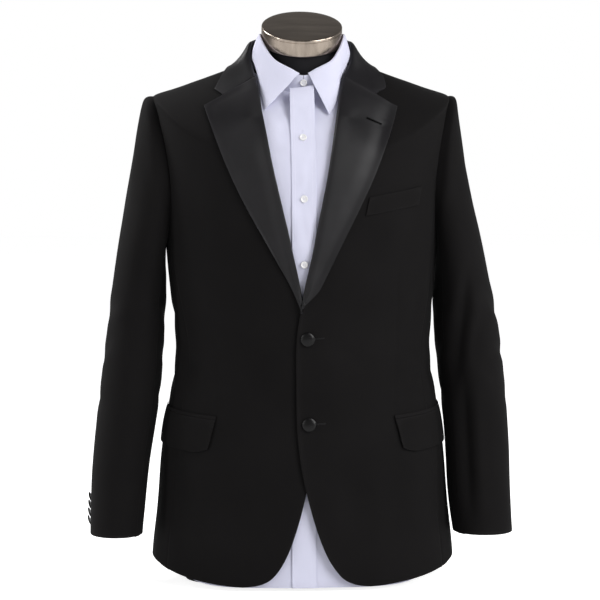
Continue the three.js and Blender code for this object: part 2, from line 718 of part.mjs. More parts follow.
// The direction straight out of a sleeve there.
function sleeveNormal(ringNumber, turn, name) {
  const last = SLEEVE_STEPS[SLEEVE_STEPS.length - 1];
  const round = sleevePoint(ringNumber, turn + 1, name).sub(sleevePoint(ringNumber, turn - 1, name));
  const down = sleevePoint(Math.min(last, ringNumber + 0.1), turn, name);
  down.sub(sleevePoint(Math.max(0, ringNumber - 0.1), turn, name));
  return down.cross(round).normalize();
}

function sleevePanel({ side, name }, which) {
  const columns = which === "top" ? 10 : 7;
  const halfGap = 0.26;
  return cloth({
    columns,
    rows: SLEEVE_STEPS.length - 1,
    thickness: SLEEVE_CLOTH,
    side,
    at: (i, j) => {
      const seams = sleeveSeams(SLEEVE_STEPS[j]);
      const back = seams[`back_${name}`];
      const [from, to] = which === "top" ? [seams.front, back] : [back, seams.front + 360];
      const turn = mix(from + halfGap, to - halfGap, i / columns);
      return {
        point: sleevePoint(SLEEVE_STEPS[j], turn, name),
        normal: sleeveNormal(SLEEVE_STEPS[j], turn, name),
      };
    },
  });
}

// A flap hangs from its jet, rounded at its front corner.
function flapPlace(share, down) {
  const start = frontPlace(FLAP.x, FLAP.z);
  const slant = (FLAP.slant / ring(start.level).front) * (180 / Math.PI) * 0.75;
  const angle = mix(start.angle + slant * down, FLAP.end, share);
  return { angle, level: start.level + FLAP.rise * share - FLAP.depth * down };
}

function flap({ side }) {
  const columns = 8;
  const downs = [0, 0.35, 0.7, 0.9, 1];
  return cloth({
    columns,
    rows: downs.length - 1,
    thickness: LAPEL_CLOTH,
    side,
    at: (i, j) => {
      const { angle, level } = flapPlace(i / columns, downs[j]);
      const corner = FLAP.corner * ease(downs[j], 0.6, 1) * Math.max(0, 1 - i / 1.3) ** 2;
      return lifted(angle, level + corner, 3.2);
    },
  });
}

function jet({ side }) {
  const columns = 8;
  const height = 5;
  return cloth({
    columns,
    rows: 1,
    thickness: TRIM_CLOTH,
    side,
    at: (i, j) => {
      const { angle, level } = flapPlace(i / columns, 0);
      return lifted(angle, level + SEAM_GAP + height * j, 2.7);
    },
  });
}

function chestWelt() {
  const columns = 6;
  const rows = 2;
  return cloth({
    columns,
    rows,
    thickness: TRIM_CLOTH,
    at: (i, j) => {
      const across = i / columns;
      const up = j / rows;
      const axis = (n) =>
        mix(mix(WELT.low_in[n], WELT.low_out[n], across), mix(WELT.top_in[n], WELT.top_out[n], across), up);
      const { angle, level } = frontPlace(axis(0), axis(1));
      return lifted(angle, level, 2.1);
    },
  });
}

// A round button, flat under and domed on top, standing on a point along a direction.
function button(name, { radius, thickness }, point, direction, material, segments) {
  const profile = [
    [0, 0],
    [radius * 0.86, 0],
    [radius, thickness * 0.35],
    [radius * 0.96, thickness * 0.7],
    [radius * 0.7, thickness * 0.95],
    [0, thickness],
  ].map(([r, h]) => new THREE.Vector2(r, h));
  const mesh = piece(name, new THREE.LatheGeometry(profile, segments), material);
  mesh.position.copy(point);
  mesh.quaternion.setFromUnitVectors(new THREE.Vector3(0, 1, 0), direction);
}

function frontButtons() {
  FRONT_BUTTONS.places.forEach(([x, z], n) => {
    const { angle, level } = frontPlace(x, z);
    const { point, normal } = lifted(angle, level, OVERLAP_LIFT + SEAM_GAP);
    button(`front_button_${n + 1}`, FRONT_BUTTONS, point, normal, SATIN, 24);
  });
}

// Four buttons up the back seam of each cuff, each lapping the one below like shingles.
function cuffButtons({ side, name }) {
  const { radius, thickness, tilt, pitch, lowest, count } = CUFF_BUTTONS;
  const ringAt = (z) => {
    let low = 11;
    let high = 14;
    for (let step = 0; step < 30; step += 1) {
      const middle = (low + high) / 2;
      if (sleeveRing(middle).out_z > z) low = middle;
      else high = middle;
    }
    return low;
  };
  for (let n = 0; n < count; n += 1) {
    const place = ringAt(lowest + pitch * n);
    const turn = sleeveSeams(place)[`back_${name}`] - 7;
    const at = sleevePoint(place, turn, name);
    const down = sleevePoint(place + 0.1, turn, name).sub(at).normalize();
    const normal = sleeveNormal(place, turn, name);
    const lean = rad(tilt);
    const direction = normal.clone().multiplyScalar(Math.cos(lean)).addScaledVector(down, Math.sin(lean));
    const stand = 0.86 * radius * Math.sin(lean) + SEAM_GAP;
    const point = at.clone().addScaledVector(normal, stand);
    for (const vector of [point, direction]) vector.x *= side;
    button(`cuff_button_${name}_${n + 1}`, { radius, thickness }, point, direction, SATIN, 12);
  }
}

// The shirt's rows, and its hem, low in front and curved up at the sides.
const SHIRT_ROWS = [6, 60, 150, 250, 340, 420, 505, 530, 580, 635, 690, SHOULDER_TIP, ...NECK_ROWS];
function shirtHemmed(row, angle) {
  const rise = 44 * ease(angle, -58, -5);
  return row + rise * clamp(1 - row / 150, 0, 1);
}
const SHIRT_ARMHOLE = 21;

function shirtFront({ side }) {
  const columns = 7;
  const inner = side * PLACKET.middle;
  return cloth({
    columns,
    rows: SHIRT_ROWS.length - 1,
    thickness: SHIRT_CLOTH,
    side,
    at: (i, j) => {
      const row = SHIRT_ROWS[j];
      const end = armholeAngle(row, SHIRT_ARMHOLE) + seamTurn(row);
      const angle = mix(angleAt(SEAM_GAP / 2 + inner, row), -end, (i / columns) ** 0.9);
      return lifted(angle, shirtHemmed(row, angle), -insets(row).shirt);
    },
  });
}

// The shirt's back is one piece right round from side to side.
function shirtBack() {
  const columns = 16;
  return cloth({
    columns,
    rows: SHIRT_ROWS.length - 1,
    thickness: SHIRT_CLOTH,
    at: (i, j) => {
      const row = SHIRT_ROWS[j];
      const end = armholeAngle(row, SHIRT_ARMHOLE) + seamTurn(row);
      const angle = mix(end, 180 - end, i / columns);
      const level = shirtHemmed(row, Math.min(angle, 180 - angle));
      return lifted(angle, level, -insets(row).shirt);
    },
  });
}

// The placket's outer face, by the way across it and the row.
const PLACKET_LIFT = 1.7;
function placketPlace(x, row) {
  return lifted(angleAt(x, row), row, PLACKET_LIFT - insets(row).shirt);
}
function placket() {
  const columns = 3;
  const rows = SHIRT_ROWS.slice(0, -1);
  return cloth({
    columns,
    rows: rows.length - 1,
    thickness: TRIM_CLOTH,
    at: (i, j) => placketPlace(mix(PLACKET.left, PLACKET.right, i / columns), rows[j]),
  });
}

// A point on the shirt collar's fold line, moved outward and up from it.
function foldPoint(angle, outward, up) {
  const c = Math.cos(rad(angle));
  const s = Math.sin(rad(angle));
  const reach = s < 0 ? FOLD.front : FOLD.back;
  const drop = s < 0 ? FOLD.front_drop : FOLD.back_drop;
  return new THREE.Vector3(
    (FOLD.half_width + outward) * power(c, 2 / FOLD.square),
    FOLD.side_y + (reach + outward) * power(s, 2 / FOLD.square),
    FOLD.side_z + up - drop * Math.abs(s) ** 1.6,
  );
}

// The foot of the shirt's collar band, just above the shirt's own neck edge.
function standFoot(angle) {
  const s = Math.sin(rad(angle));
  const inward = mix(4.1, s < 0 ? 0.8 : 2.5, s * s);
  const place = nearNeck(angle, inward, 0.9);
  return place.addScaledVector(bodyNormal(angle, NECK), -5.4);
}

// Where the leaf's edge leaves the points, its place beside the neck edge on each side.
const LEAF_TUCK = { left: { inward: 5, up: 11 }, right: { inward: 3.6, up: 2 } };
// The band and the leaf bend at the same angles, from the front round to the back.
const COLLAR_ANGLES = [-85, -78, -68, -58, -46, -34, -22, -10, 2, 16, 32, 50, 70, 90];
function shirtStand() {
  const halfGap = 0.15;
  const half = [-90 + halfGap, ...COLLAR_ANGLES];
  const angles = [...half, ...half.slice(0, -1).reverse().map((angle) => 180 - angle)];
  const rows = 2;
  return cloth({
    columns: angles.length - 1,
    rows,
    thickness: SHIRT_CLOTH,
    at: (i, j) => ({ point: standFoot(angles[i]).lerp(foldPoint(angles[i], 0, 0), j / rows) }),
  });
}

// The turned-down leaf: over the fold line, down outside the band, out to the two points.
function leafSection(angle, name) {
  const last = LEAF_EDGE[LEAF_EDGE.length - 1].angle;
  let edge;
  if (angle > last) {
    const inFront = 1 - ease(angle, last, -5);
    const tuck = LEAF_TUCK[name];
    edge = nearNeck(angle, mix(4.5, tuck.inward, inFront), mix(5, tuck.up, inFront));
  } else {
    const row = leafEdge(angle);
    const x = row[`x_${name}`];
    const place = frontPlace(x, row[`z_${name}`]);
    edge = lifted(place.angle, place.level, mix(-2, -3.1, ease(x, 40, 62))).point;
  }
  const top = foldPoint(angle, -1, 2);
  const turned = foldPoint(angle, 2.3, 0.6);
  const out = new THREE.Vector3(Math.cos(rad(angle)), Math.sin(rad(angle)), 0);
  const fall = [0.3, 0.65, 1].map((share) => {
    const bulge = mix(10, 4, ease(angle, last, 0)) * share * (1 - share);
    return turned.clone().lerp(edge, share).addScaledVector(out, bulge);
  });
  return [top, turned, ...fall];
}

function shirtLeaf() {
  const sections = COLLAR_ANGLES.map((angle) => leafSection(angle, "left"));
  for (const angle of COLLAR_ANGLES.slice(0, -1).reverse()) {
    sections.push(leafSection(angle, "right").map((p) => p.setX(-p.x)));
  }
  return cloth({
    columns: sections[0].length - 1,
    rows: sections.length - 1,
    thickness: SHIRT_CLOTH,
    at: (i, j) => ({ point: sections[j][i] }),
  });
}

function shirtButtons() {
  SHIRT_BUTTONS.heights.forEach((z, n) => {
    const place = frontPlace(SHIRT_BUTTONS.x, z);
    const { point, normal } = placketPlace(SHIRT_BUTTONS.x, place.level);
    point.addScaledVector(normal, SEAM_GAP);
    button(`shirt_button_${n + 1}`, SHIRT_BUTTONS, point, normal, PEARL, 20);
  });
  const foot = standFoot(-90);
  const top = foldPoint(-90, 0, 0);
  const share = (SHIRT_BUTTONS.neck_z - foot.z) / (top.z - foot.z);
  const point = foot.clone().lerp(top, share);
  const direction = new THREE.Vector3(0, foot.z - top.z, top.y - foot.y).normalize();
  point.addScaledVector(direction, SEAM_GAP);
  button("shirt_button_neck", SHIRT_BUTTONS, point, direction, PEARL, 20);
}

// The form: the body surface drawn in, then a neck that leans forward under the cap.
const FORM_LEVELS = [
  0, 10, 28, 60, 110, 180, 260, 350, 430, 510, 580, 640, 690, SHOULDER_TIP, 742, 760, NECK,
];
const FORM_SIDES = 32;
function formTorso() {
  const tilt = rad(CAP.tilt);
  const around = Array.from({ length: FORM_SIDES }, (_, n) => (n * 360) / FORM_SIDES);
  const rings = FORM_LEVELS.map((level) =>
    around.map((angle) => {
      const point = bodyPoint(angle, level);
      const normal = bodyNormal(angle, level);
      if (level < 300) normal.setZ(0).normalize();
      point.addScaledVector(normal, -insets(level).form);
      const shoulder = 9 * ease(level, 470, 600) * ease(Math.abs(point.x), 165, 212);
      point.x -= Math.sign(point.x) * shoulder;
      return point;
    }),
  );
  const neckFoot = around.map((angle) => nearNeck(angle, 11, -4));
  const neckHead = around.map((angle) => {
    const c = Math.cos(rad(angle));
    const s = Math.sin(rad(angle));
    return new THREE.Vector3(
      NECK_RADIUS * c,
      CAP.y + NECK_RADIUS * s * Math.cos(tilt),
      CAP.z - 0.4 + NECK_RADIUS * s * Math.sin(tilt),
    );
  });
  const neckRing = (share) =>
    neckFoot.map((p, n) => {
      const point = p.clone().lerp(neckHead[n], share ** 0.6);
      point.z = mix(p.z, neckHead[n].z, share);
      return point;
    });
  return stacked([...rings, neckRing(0), neckRing(0.25), neckRing(0.6), neckRing(1)]);
}

function formCap() {
  const { radius, height } = CAP;
  const profile = [
    [0, 0],
    [radius - 1.6, 0],
    [radius, 1.6],
    [radius, height - 1.8],
    [radius - 0.6, height - 0.6],
    [radius - 2.2, height],
    [0, height + 0.6],
  ].map(([r, h]) => new THREE.Vector2(r, h));
  const cap = piece("form_cap", new THREE.LatheGeometry(profile, 40), STEEL);
  cap.position.set(0, CAP.y, CAP.z);
  cap.rotation.x = Math.PI / 2 + rad(CAP.tilt);
}

piece("form_torso", formTorso(), JERSEY);
formCap();
for (const s of SIDES) piece(`shirt_front_${s.name}`, shirtFront(s), SHIRTING);
piece("shirt_back", shirtBack(), SHIRTING);
piece("shirt_placket", placket(), SHIRTING);
piece("shirt_stand", shirtStand(), SHIRTING);
piece("shirt_leaf", shirtLeaf(), SHIRTING);
shirtButtons();
for (const s of SIDES) {
  piece(`jacket_front_${s.name}`, jacketFront(s), WOOL);
  piece(`jacket_side_${s.name}`, jacketSide(s), WOOL);
  piece(`jacket_back_${s.name}`, jacketBack(s), WOOL);
  piece(`sleeve_top_${s.name}`, sleevePanel(s, "top"), WOOL);
  piece(`sleeve_under_${s.name}`, sleevePanel(s, "under"), WOOL);
  piece(`lapel_${s.name}`, lapel(s), SATIN);
  piece(`flap_${s.name}`, flap(s), WOOL);
  piece(`jet_${s.name}`, jet(s), WOOL);
  cuffButtons(s);
}
piece("jacket_collar", jacketCollar(), SATIN);
piece("chest_welt", chestWelt(), WOOL);
frontButtons();

export default tuxedo;
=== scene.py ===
# %% [markdown]
# A two-button tuxedo jacket with satin notch lapels over a white dress shirt, shown on a
# limbless dress form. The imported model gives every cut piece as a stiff, faceted wall. This
# script turns each one into a thin, smooth, gently creased cloth, sews on what a tailor would
# sew on, gives every piece its finish, and lights the whole thing like a catalogue picture.

# %% Load the frame and keep its size
import math
from collections import namedtuple

import bmesh
import bpy
import numpy as np
from mathutils import Matrix, Vector, noise
from mathutils.bvhtree import BVHTree
from mathutils.kdtree import KDTree


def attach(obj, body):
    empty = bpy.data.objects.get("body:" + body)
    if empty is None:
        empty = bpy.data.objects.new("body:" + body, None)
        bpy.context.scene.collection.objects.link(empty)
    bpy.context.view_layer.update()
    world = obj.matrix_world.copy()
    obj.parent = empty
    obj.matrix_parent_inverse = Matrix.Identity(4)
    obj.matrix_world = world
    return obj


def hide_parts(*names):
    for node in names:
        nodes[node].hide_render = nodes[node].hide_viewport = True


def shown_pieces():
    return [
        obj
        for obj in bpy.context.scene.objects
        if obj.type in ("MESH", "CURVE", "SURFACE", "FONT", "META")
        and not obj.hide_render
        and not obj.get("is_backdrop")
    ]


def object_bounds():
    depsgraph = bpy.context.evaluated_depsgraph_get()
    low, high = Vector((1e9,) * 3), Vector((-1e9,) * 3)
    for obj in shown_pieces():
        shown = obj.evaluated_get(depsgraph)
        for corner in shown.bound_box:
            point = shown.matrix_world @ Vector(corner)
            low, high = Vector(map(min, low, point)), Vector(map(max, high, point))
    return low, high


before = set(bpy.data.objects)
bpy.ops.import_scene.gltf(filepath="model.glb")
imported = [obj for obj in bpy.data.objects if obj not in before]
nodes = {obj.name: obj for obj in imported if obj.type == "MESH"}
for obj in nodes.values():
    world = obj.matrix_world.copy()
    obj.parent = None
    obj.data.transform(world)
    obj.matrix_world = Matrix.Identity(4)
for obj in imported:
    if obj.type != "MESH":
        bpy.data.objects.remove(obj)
cad_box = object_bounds()
scene = bpy.context.scene
MM = 0.001
print("nodes", len(nodes), "box", [round(v, 4) for corner in cad_box for v in corner])

# %% [markdown]
# The cloths are woven or knitted, so their finishes share a few effects: a weave that lifts and
# shades the threads, soft unevenness over the whole piece, and a painted highlight along edges.
# Each effect is a shader node group with named sockets, built once and placed in each material
# with that material's own values. The weave follows the piece's UV map, which is in metres.

# %% Helpers that make an empty shader node group and add nodes to a tree
FLOAT, VECTOR = "NodeSocketFloat", "NodeSocketVector"


def new_group(name, inputs, outputs):
    """A shader node group with float or vector sockets, and its two end nodes."""
    group = bpy.data.node_groups.new(name, "ShaderNodeTree")
    for label, kind, value in inputs:
        socket = group.interface.new_socket(name=label, in_out="INPUT", socket_type=kind)
        if value is not None:
            socket.default_value = value
    for label, kind in outputs:
        group.interface.new_socket(name=label, in_out="OUTPUT", socket_type=kind)
    return group, group.nodes.new("NodeGroupInput"), group.nodes.new("NodeGroupOutput")


def feed(tree, node, inputs):
    """Links each input that is given a socket, and sets each that is given a value."""
    for label, value in inputs.items():
        if isinstance(value, bpy.types.NodeSocket):
            tree.links.new(value, node.inputs[label])
        else:
            node.inputs[label].default_value = value


def add_node(tree, kind, inputs=(), **settings):
    """A node of a tree, with its settings made first and its inputs fed after them."""
    node = tree.nodes.new("ShaderNode" + kind)
    for setting, value in settings.items():
        setattr(node, setting, value)
    feed(tree, node, dict(inputs))
    return node


def math_node(tree, operation, *values, clamp=False):
    """The result of a Math node that is fed by sockets or plain numbers."""
    node = add_node(tree, "Math", enumerate(values), operation=operation, use_clamp=clamp)
    return node.outputs[0]


# %% The weave: slanting ribs crossed by finer threads, from the piece's UV map
def weave_group():
    group, start, end = new_group(
        "Weave",
        [("Cloth", VECTOR, None), ("Ribs", FLOAT, 900.0), ("Slant", FLOAT, 1.0), ("Cross", FLOAT, 0.5)],
        [("Height", FLOAT), ("Shade", FLOAT)],
    )
    given = start.outputs
    lay = add_node(group, "SeparateXYZ", {0: given["Cloth"]}).outputs

    def threads(distance):
        turns = math_node(group, "MULTIPLY", distance, given["Ribs"])
        return math_node(group, "SINE", math_node(group, "MULTIPLY", turns, 2 * math.pi))

    slanting = math_node(group, "MULTIPLY_ADD", lay["Y"], given["Slant"], lay["X"])
    woven = math_node(group, "MULTIPLY_ADD", threads(lay["Y"]), given["Cross"], threads(slanting))
    height = math_node(group, "MULTIPLY_ADD", woven, 0.25, 0.5)
    shade = math_node(group, "MULTIPLY_ADD", woven, 0.08, 1.0)
    feed(group, end, {"Height": height, "Shade": shade})
    return group


# %% The unevenness of a hanging cloth, from its place on the object
def unevenness_group():
    group, start, end = new_group(
        "Unevenness",
        [("Place", VECTOR, None), ("Patches", FLOAT, 9.0), ("Slubs", FLOAT, 600.0)],
        [("Tone", FLOAT), ("Fuzz", FLOAT)],
    )
    given = start.outputs
    for label, scale, detail in [("Tone", "Patches", 3.0), ("Fuzz", "Slubs", 1.0)]:
        cloud = add_node(
            group, "TexNoise", {"Vector": given["Place"], "Scale": given[scale], "Detail": detail}
        )
        feed(group, end, {label: cloud.outputs["Fac"]})
    return group


# %% The edge highlight: a painted highlight that grows as a point nears the piece's finished edge
def edge_highlight_group():
    group, start, end = new_group(
        "Painted edge highlight", [("Edge", FLOAT, 0.0), ("Sharpness", FLOAT, 10.0)], [("Highlight", FLOAT)]
    )
    # Painted highlight mask: near 1 on the finished edge, falling to 0 a little way in.
    close = math_node(group, "POWER", start.outputs["Edge"], start.outputs["Sharpness"], clamp=True)
    feed(group, end, {"Highlight": close})
    return group


weave, unevenness, edge_highlight = weave_group(), unevenness_group(), edge_highlight_group()
print("shader groups", [g.name for g in bpy.data.node_groups])

# %% [markdown]
# Every cloth material has the same skeleton: the weave and the fuzz raise a fine bump, the
# unevenness varies the colour and the roughness, a painted highlight lightens the colour along
# the finished edges, and the rest is set on the shader itself. Wool drinks light and has a little
# fuzz, satin shows long floats with a directional gloss, poplin is fine and matt, and jersey is
# knitted in ribs.


# %% A material whose shader is ready, and the cloth material that all the cloths share
def new_material(name, sockets):
    """A material, its tree and its shader, with an underscore for each space in a socket's name."""
    material = bpy.data.materials.new(name)
    material.use_nodes = True
    tree = material.node_tree
    shader = tree.nodes["Principled BSDF"]
    feed(tree, shader, {label.replace("_", " "): value for label, value in sockets.items()})
    return material, tree, shader


FUZZ_SHARE, CLOTH_BUMP_STRENGTH = 0.35, 0.6


def cloth_material(
    name, low, high, rough, ribs, slant, cross, bump, patches=9.0, edge=0.0, shine=0.0, **sockets
):
    """The tone drifts from the colour low to high, and edge lightens it near the finished edges:
    a painted highlight. ribs are threads a metre, and bump is in mm.
    """
    material, tree, shader = new_material(name, sockets)
    place = add_node(tree, "TexCoord").outputs
    threads = {"Cloth": place["UV"], "Ribs": ribs, "Slant": slant, "Cross": cross}
    woven = add_node(tree, "Group", threads, node_tree=weave).outputs
    spots = {"Place": place["Object"], "Patches": patches}
    uneven = add_node(tree, "Group", spots, node_tree=unevenness).outputs
    # Painted highlight: the colour is lightened along the finished edges, by edge times the edge mask.
    edge_value = add_node(tree, "Attribute", attribute_name="edge").outputs["Fac"]
    press = add_node(tree, "Group", {"Edge": edge_value}, node_tree=edge_highlight).outputs["Highlight"]
    tone_and_edge_highlight = math_node(tree, "MULTIPLY_ADD", press, edge, uneven["Tone"])
    colours = {"A": (*low, 1), "B": (*high, 1), "Factor": tone_and_edge_highlight}
    tone = add_node(tree, "Mix", colours, data_type="RGBA").outputs["Result"]
    shaded = add_node(tree, "VectorMath", {0: tone, "Scale": woven["Shade"]}, operation="SCALE")
    roughness = math_node(tree, "MULTIPLY_ADD", uneven["Tone"], -shine, rough + shine / 2)
    height = math_node(tree, "MULTIPLY_ADD", uneven["Fuzz"], FUZZ_SHARE, woven["Height"])
    relief = {"Distance": bump * MM, "Strength": CLOTH_BUMP_STRENGTH, "Height": height}
    raised = add_node(tree, "Bump", relief).outputs["Normal"]
    base = shaded.outputs["Vector"]
    feed(tree, shader, {"Base Color": base, "Roughness": roughness, "Normal": raised})
    return material


# %% Wool, satin, the buttons' cover, poplin and jersey
# edge is the strength of the painted highlight that lightens these cloths along their finished edges.
WOOL = cloth_material(
    "Wool barathea", (0.0034, 0.0030, 0.0031), (0.0066, 0.0059, 0.0061), rough=0.80,
    ribs=700, slant=1.0, cross=0.6, bump=0.10, edge=1.6, shine=0.08,
    Specular_IOR_Level=0.09, Sheen_Weight=0.02, Sheen_Roughness=0.5,
)
SATIN = cloth_material(
    "Lapel satin", (0.0030, 0.0028, 0.0033), (0.0140, 0.0131, 0.0150), rough=0.50,
    ribs=1500, slant=0.08, cross=0.15, bump=0.03, patches=22, edge=1.0, shine=0.14,
    Specular_IOR_Level=0.27, Anisotropic=0.35, Sheen_Weight=0.05, Sheen_Roughness=0.3,
)
# Painted shade: the lapels' satin again, made darker for the buttons. It is also smoother and glossier.
SHADED_COVER = cloth_material(
    "Button cover satin in painted shade", (0.0024, 0.0022, 0.0024), (0.0044, 0.0041, 0.0045), rough=0.24,
    ribs=1500, slant=0.08, cross=0.15, bump=0.03, patches=40, shine=0.06,
    Specular_IOR_Level=0.26, Sheen_Weight=0.02,
)
POPLIN = cloth_material(
    "Shirt poplin", (0.61, 0.613, 0.745), (0.71, 0.713, 0.862), rough=0.72,
    ribs=1300, slant=0.0, cross=1.0, bump=0.05, patches=14, shine=0.06,
    Specular_IOR_Level=0.25, Sheen_Weight=0.08, Sheen_Roughness=0.5,
)
JERSEY = cloth_material(
    "Form jersey", (0.0060, 0.0058, 0.0072), (0.0110, 0.0104, 0.0130), rough=0.85,
    ribs=620, slant=0.0, cross=0.9, bump=0.16, shine=0.05,
    Specular_IOR_Level=0.2, Sheen_Weight=0.15, Sheen_Roughness=0.4,
)
print("cloth materials", [m.name for m in (WOOL, SATIN, SHADED_COVER, POPLIN, JERSEY)])

# %% [markdown]
# Thread is a fine glossy twist, so thin that a little noise along it is all that shows. In the
# slit of a buttonhole it is in its own shadow, so there its colour is painted darker and dull:
# painted shade. The shirt's buttons imitate mother of pearl: pale, slightly cloudy, with a clear
# hard surface. The neck cap is turned and brushed steel. Its noise is stretched along the cap's
# own UV map, which is unrolled round its axis, so round the band the tone changes in upright
# stripes: painted reflections of the room round it.


# %% Thread, pearl and steel
FINE_BUMP, FINE_BUMP_STRENGTH = 0.02 * MM, 0.4


def plain_material(
    name, colour, rough, cloud_scale, spread, stretch=(1, 1, 1), coords="Object", **sockets
):
    """A cloudy finish. The clouds darken and lighten the colour by its share spread."""
    material, tree, shader = new_material(name, sockets)
    place = add_node(tree, "TexCoord").outputs[coords]
    laid = add_node(tree, "Mapping", {"Vector": place, "Scale": stretch}).outputs["Vector"]
    clouds = {"Vector": laid, "Scale": cloud_scale, "Detail": 4}
    cloud = add_node(tree, "TexNoise", clouds).outputs["Fac"]
    dark, light = ([min(1, c * (1 + sign * spread)) for c in colour] for sign in (-1, 1))
    colours = {"A": (*dark, 1), "B": (*light, 1), "Factor": cloud}
    tone = add_node(tree, "Mix", colours, data_type="RGBA").outputs["Result"]
    roughness = math_node(tree, "MULTIPLY_ADD", cloud, rough * 0.5, rough * 0.75)
    relief = {"Distance": FINE_BUMP, "Strength": FINE_BUMP_STRENGTH, "Height": cloud}
    raised = add_node(tree, "Bump", relief).outputs["Normal"]
    feed(tree, shader, {"Base Color": tone, "Roughness": roughness, "Normal": raised})
    return material


BLACK_THREAD = plain_material(
    "Black twist", (0.0085, 0.0080, 0.0088), 0.5, 900, 0.4, Specular_IOR_Level=0.3
)
# Painted shade: a darker, duller copy of the black twist, for the shadow in a buttonhole's slit.
SLIT_SHADE_THREAD = plain_material(
    "Black twist in painted slit shade", (0.0012, 0.0011, 0.0012), 0.8, 900, 0.3, Specular_IOR_Level=0.04
)
WHITE_THREAD = plain_material("White thread", (0.78, 0.78, 0.9), 0.55, 900, 0.06)
PEARL = plain_material(
    "Pearl button", (0.80, 0.79, 0.80), 0.24, 260, 0.07, Coat_Weight=0.35, Coat_Roughness=0.1
)
# The steel's clouds vary fast round the cap's UV map. On the band they make upright stripes of tone,
# painted reflections of the room round it. On the flat top they run straight across.
STEEL = plain_material(
    "Brushed steel", (0.44, 0.372, 0.312), 0.20, 5, 0.45, (1.5, 6, 1), "UV",
    Metallic=1.0, Anisotropic=0.5,
)
print("hard materials", [m.name for m in (BLACK_THREAD, SLIT_SHADE_THREAD, WHITE_THREAD, PEARL, STEEL)])

# %% [markdown]
# A piece is finished in the same few steps whatever it is: it gets its material, it rides on the
# one body there is, its faces are shaded smooth with the sharp ones kept, and the plain solid it
# stands for is hidden. Modifiers are turned into real mesh at once, so that later steps can measure it.


# %% Making, settling and attaching a piece
def make_object(name, mesh_or_bmesh, material):
    if isinstance(mesh_or_bmesh, bmesh.types.BMesh):
        mesh = bpy.data.meshes.new(name)
        mesh_or_bmesh.to_mesh(mesh)
        mesh_or_bmesh.free()
    else:
        mesh = mesh_or_bmesh
    mesh.materials.append(material)
    obj = bpy.data.objects.new(name, mesh)
    scene.collection.objects.link(obj)
    return obj


def settle(obj):
    """Turns the modifiers into mesh."""
    graph = bpy.context.evaluated_depsgraph_get()
    mesh = bpy.data.meshes.new_from_object(
        obj.evaluated_get(graph), preserve_all_data_layers=True, depsgraph=graph
    )
    obj.modifiers.clear()
    obj.data = mesh
    return obj


SHARP_ANGLE = math.radians(52)


def register(obj, slot, *replaced):
    for polygon in obj.data.polygons:
        polygon.use_smooth = True
    obj.data.set_sharp_from_angle(angle=SHARP_ANGLE)
    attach(obj, "root")
    if replaced:
        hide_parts(*replaced)
    return obj


# %% [markdown]
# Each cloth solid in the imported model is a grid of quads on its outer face, the same grid on its
# inner face, and a rim round them, all cut into triangles. Only the outer face is wanted here,
# because a cloth is shaped first and gets its thickness last. A point and its partner on the
# other face are exactly one wall apart, so the triangles that join partners are the rim. Once
# the rim is gone the two faces are separate islands, and the one that faces out is kept.


# %% Taking the outer face of a cloth solid
MERGE, SEARCH_MARGIN, WALL_SLACK = 0.01 * MM, 0.06 * MM, 0.03 * MM
PAST_THE_AXIS = 0.3


def outer_face(node, wall, axis):
    """axis is a line (mm) up the inside of the body or the sleeve, and outward is away from it."""
    bm = bmesh.new()
    bm.from_mesh(nodes[node].data)
    bmesh.ops.remove_doubles(bm, verts=bm.verts, dist=MERGE)
    bm.verts.index_update()
    tree = KDTree(len(bm.verts))
    for v in bm.verts:
        tree.insert(v.co, v.index)
    tree.balance()
    partner = {}
    for v in bm.verts:
        found = tree.find_range(v.co, wall + SEARCH_MARGIN)
        near = [(abs(far - wall), n) for _, n, far in found if n != v.index]
        if near and min(near)[0] < WALL_SLACK:
            partner[v.index] = min(near)[1]
    rim = [f for f in bm.faces if {partner.get(v.index) for v in f.verts} & {v.index for v in f.verts}]
    bmesh.ops.delete(bm, geom=rim, context="FACES")
    islands = []
    left = set(bm.faces)
    while left:
        reached = [left.pop()]
        for f in reached:
            for g in {g for e in f.edges for g in e.link_faces if g in left}:
                left.remove(g)
                reached.append(g)
        islands.append(reached)
    low, high = (Vector(end) * MM for end in axis)

    def outward(island):
        total = 0
        for f in island:
            middle = f.calc_center_median()
            share = (middle.z - low.z) / (high.z - low.z)
            away = middle - low.lerp(high, min(1 + PAST_THE_AXIS, max(-PAST_THE_AXIS, share)))
            away.z = 0
            total += f.calc_area() * f.normal.dot(away)
        return total

    islands.sort(key=outward)
    dropped = [f for island in islands[:-1] for f in island]
    bmesh.ops.delete(bm, geom=dropped, context="FACES")
    return bm


# %% [markdown]
# The triangles of that face come in pairs that share a slanting edge. All the slants run the
# same way, so starting from a corner each triangle tells its neighbours which of their edges is
# the slant. Dissolving the slants leaves clean quads, which subdivide smoothly.


# %% Joining the triangles of a grid into quads
def join_slants(bm):
    corner = next(v for v in bm.verts if len(v.link_faces) == 1)
    first = corner.link_faces[0]
    slant = {first: next(e for e in first.edges if corner not in e.verts)}
    queue = [first]
    for f in queue:
        lone = next(v for v in f.verts if v not in slant[f].verts)
        for e in f.edges:
            for g in e.link_faces:
                if g in slant:
                    continue
                if e == slant[f]:
                    slant[g] = e
                else:
                    third = next(v for v in g.verts if v not in e.verts)
                    slant[g] = next(x for x in g.edges if lone in x.verts and third in x.verts)
                queue.append(g)
    bmesh.ops.dissolve_edges(bm, edges=list(set(slant.values())), use_verts=False)


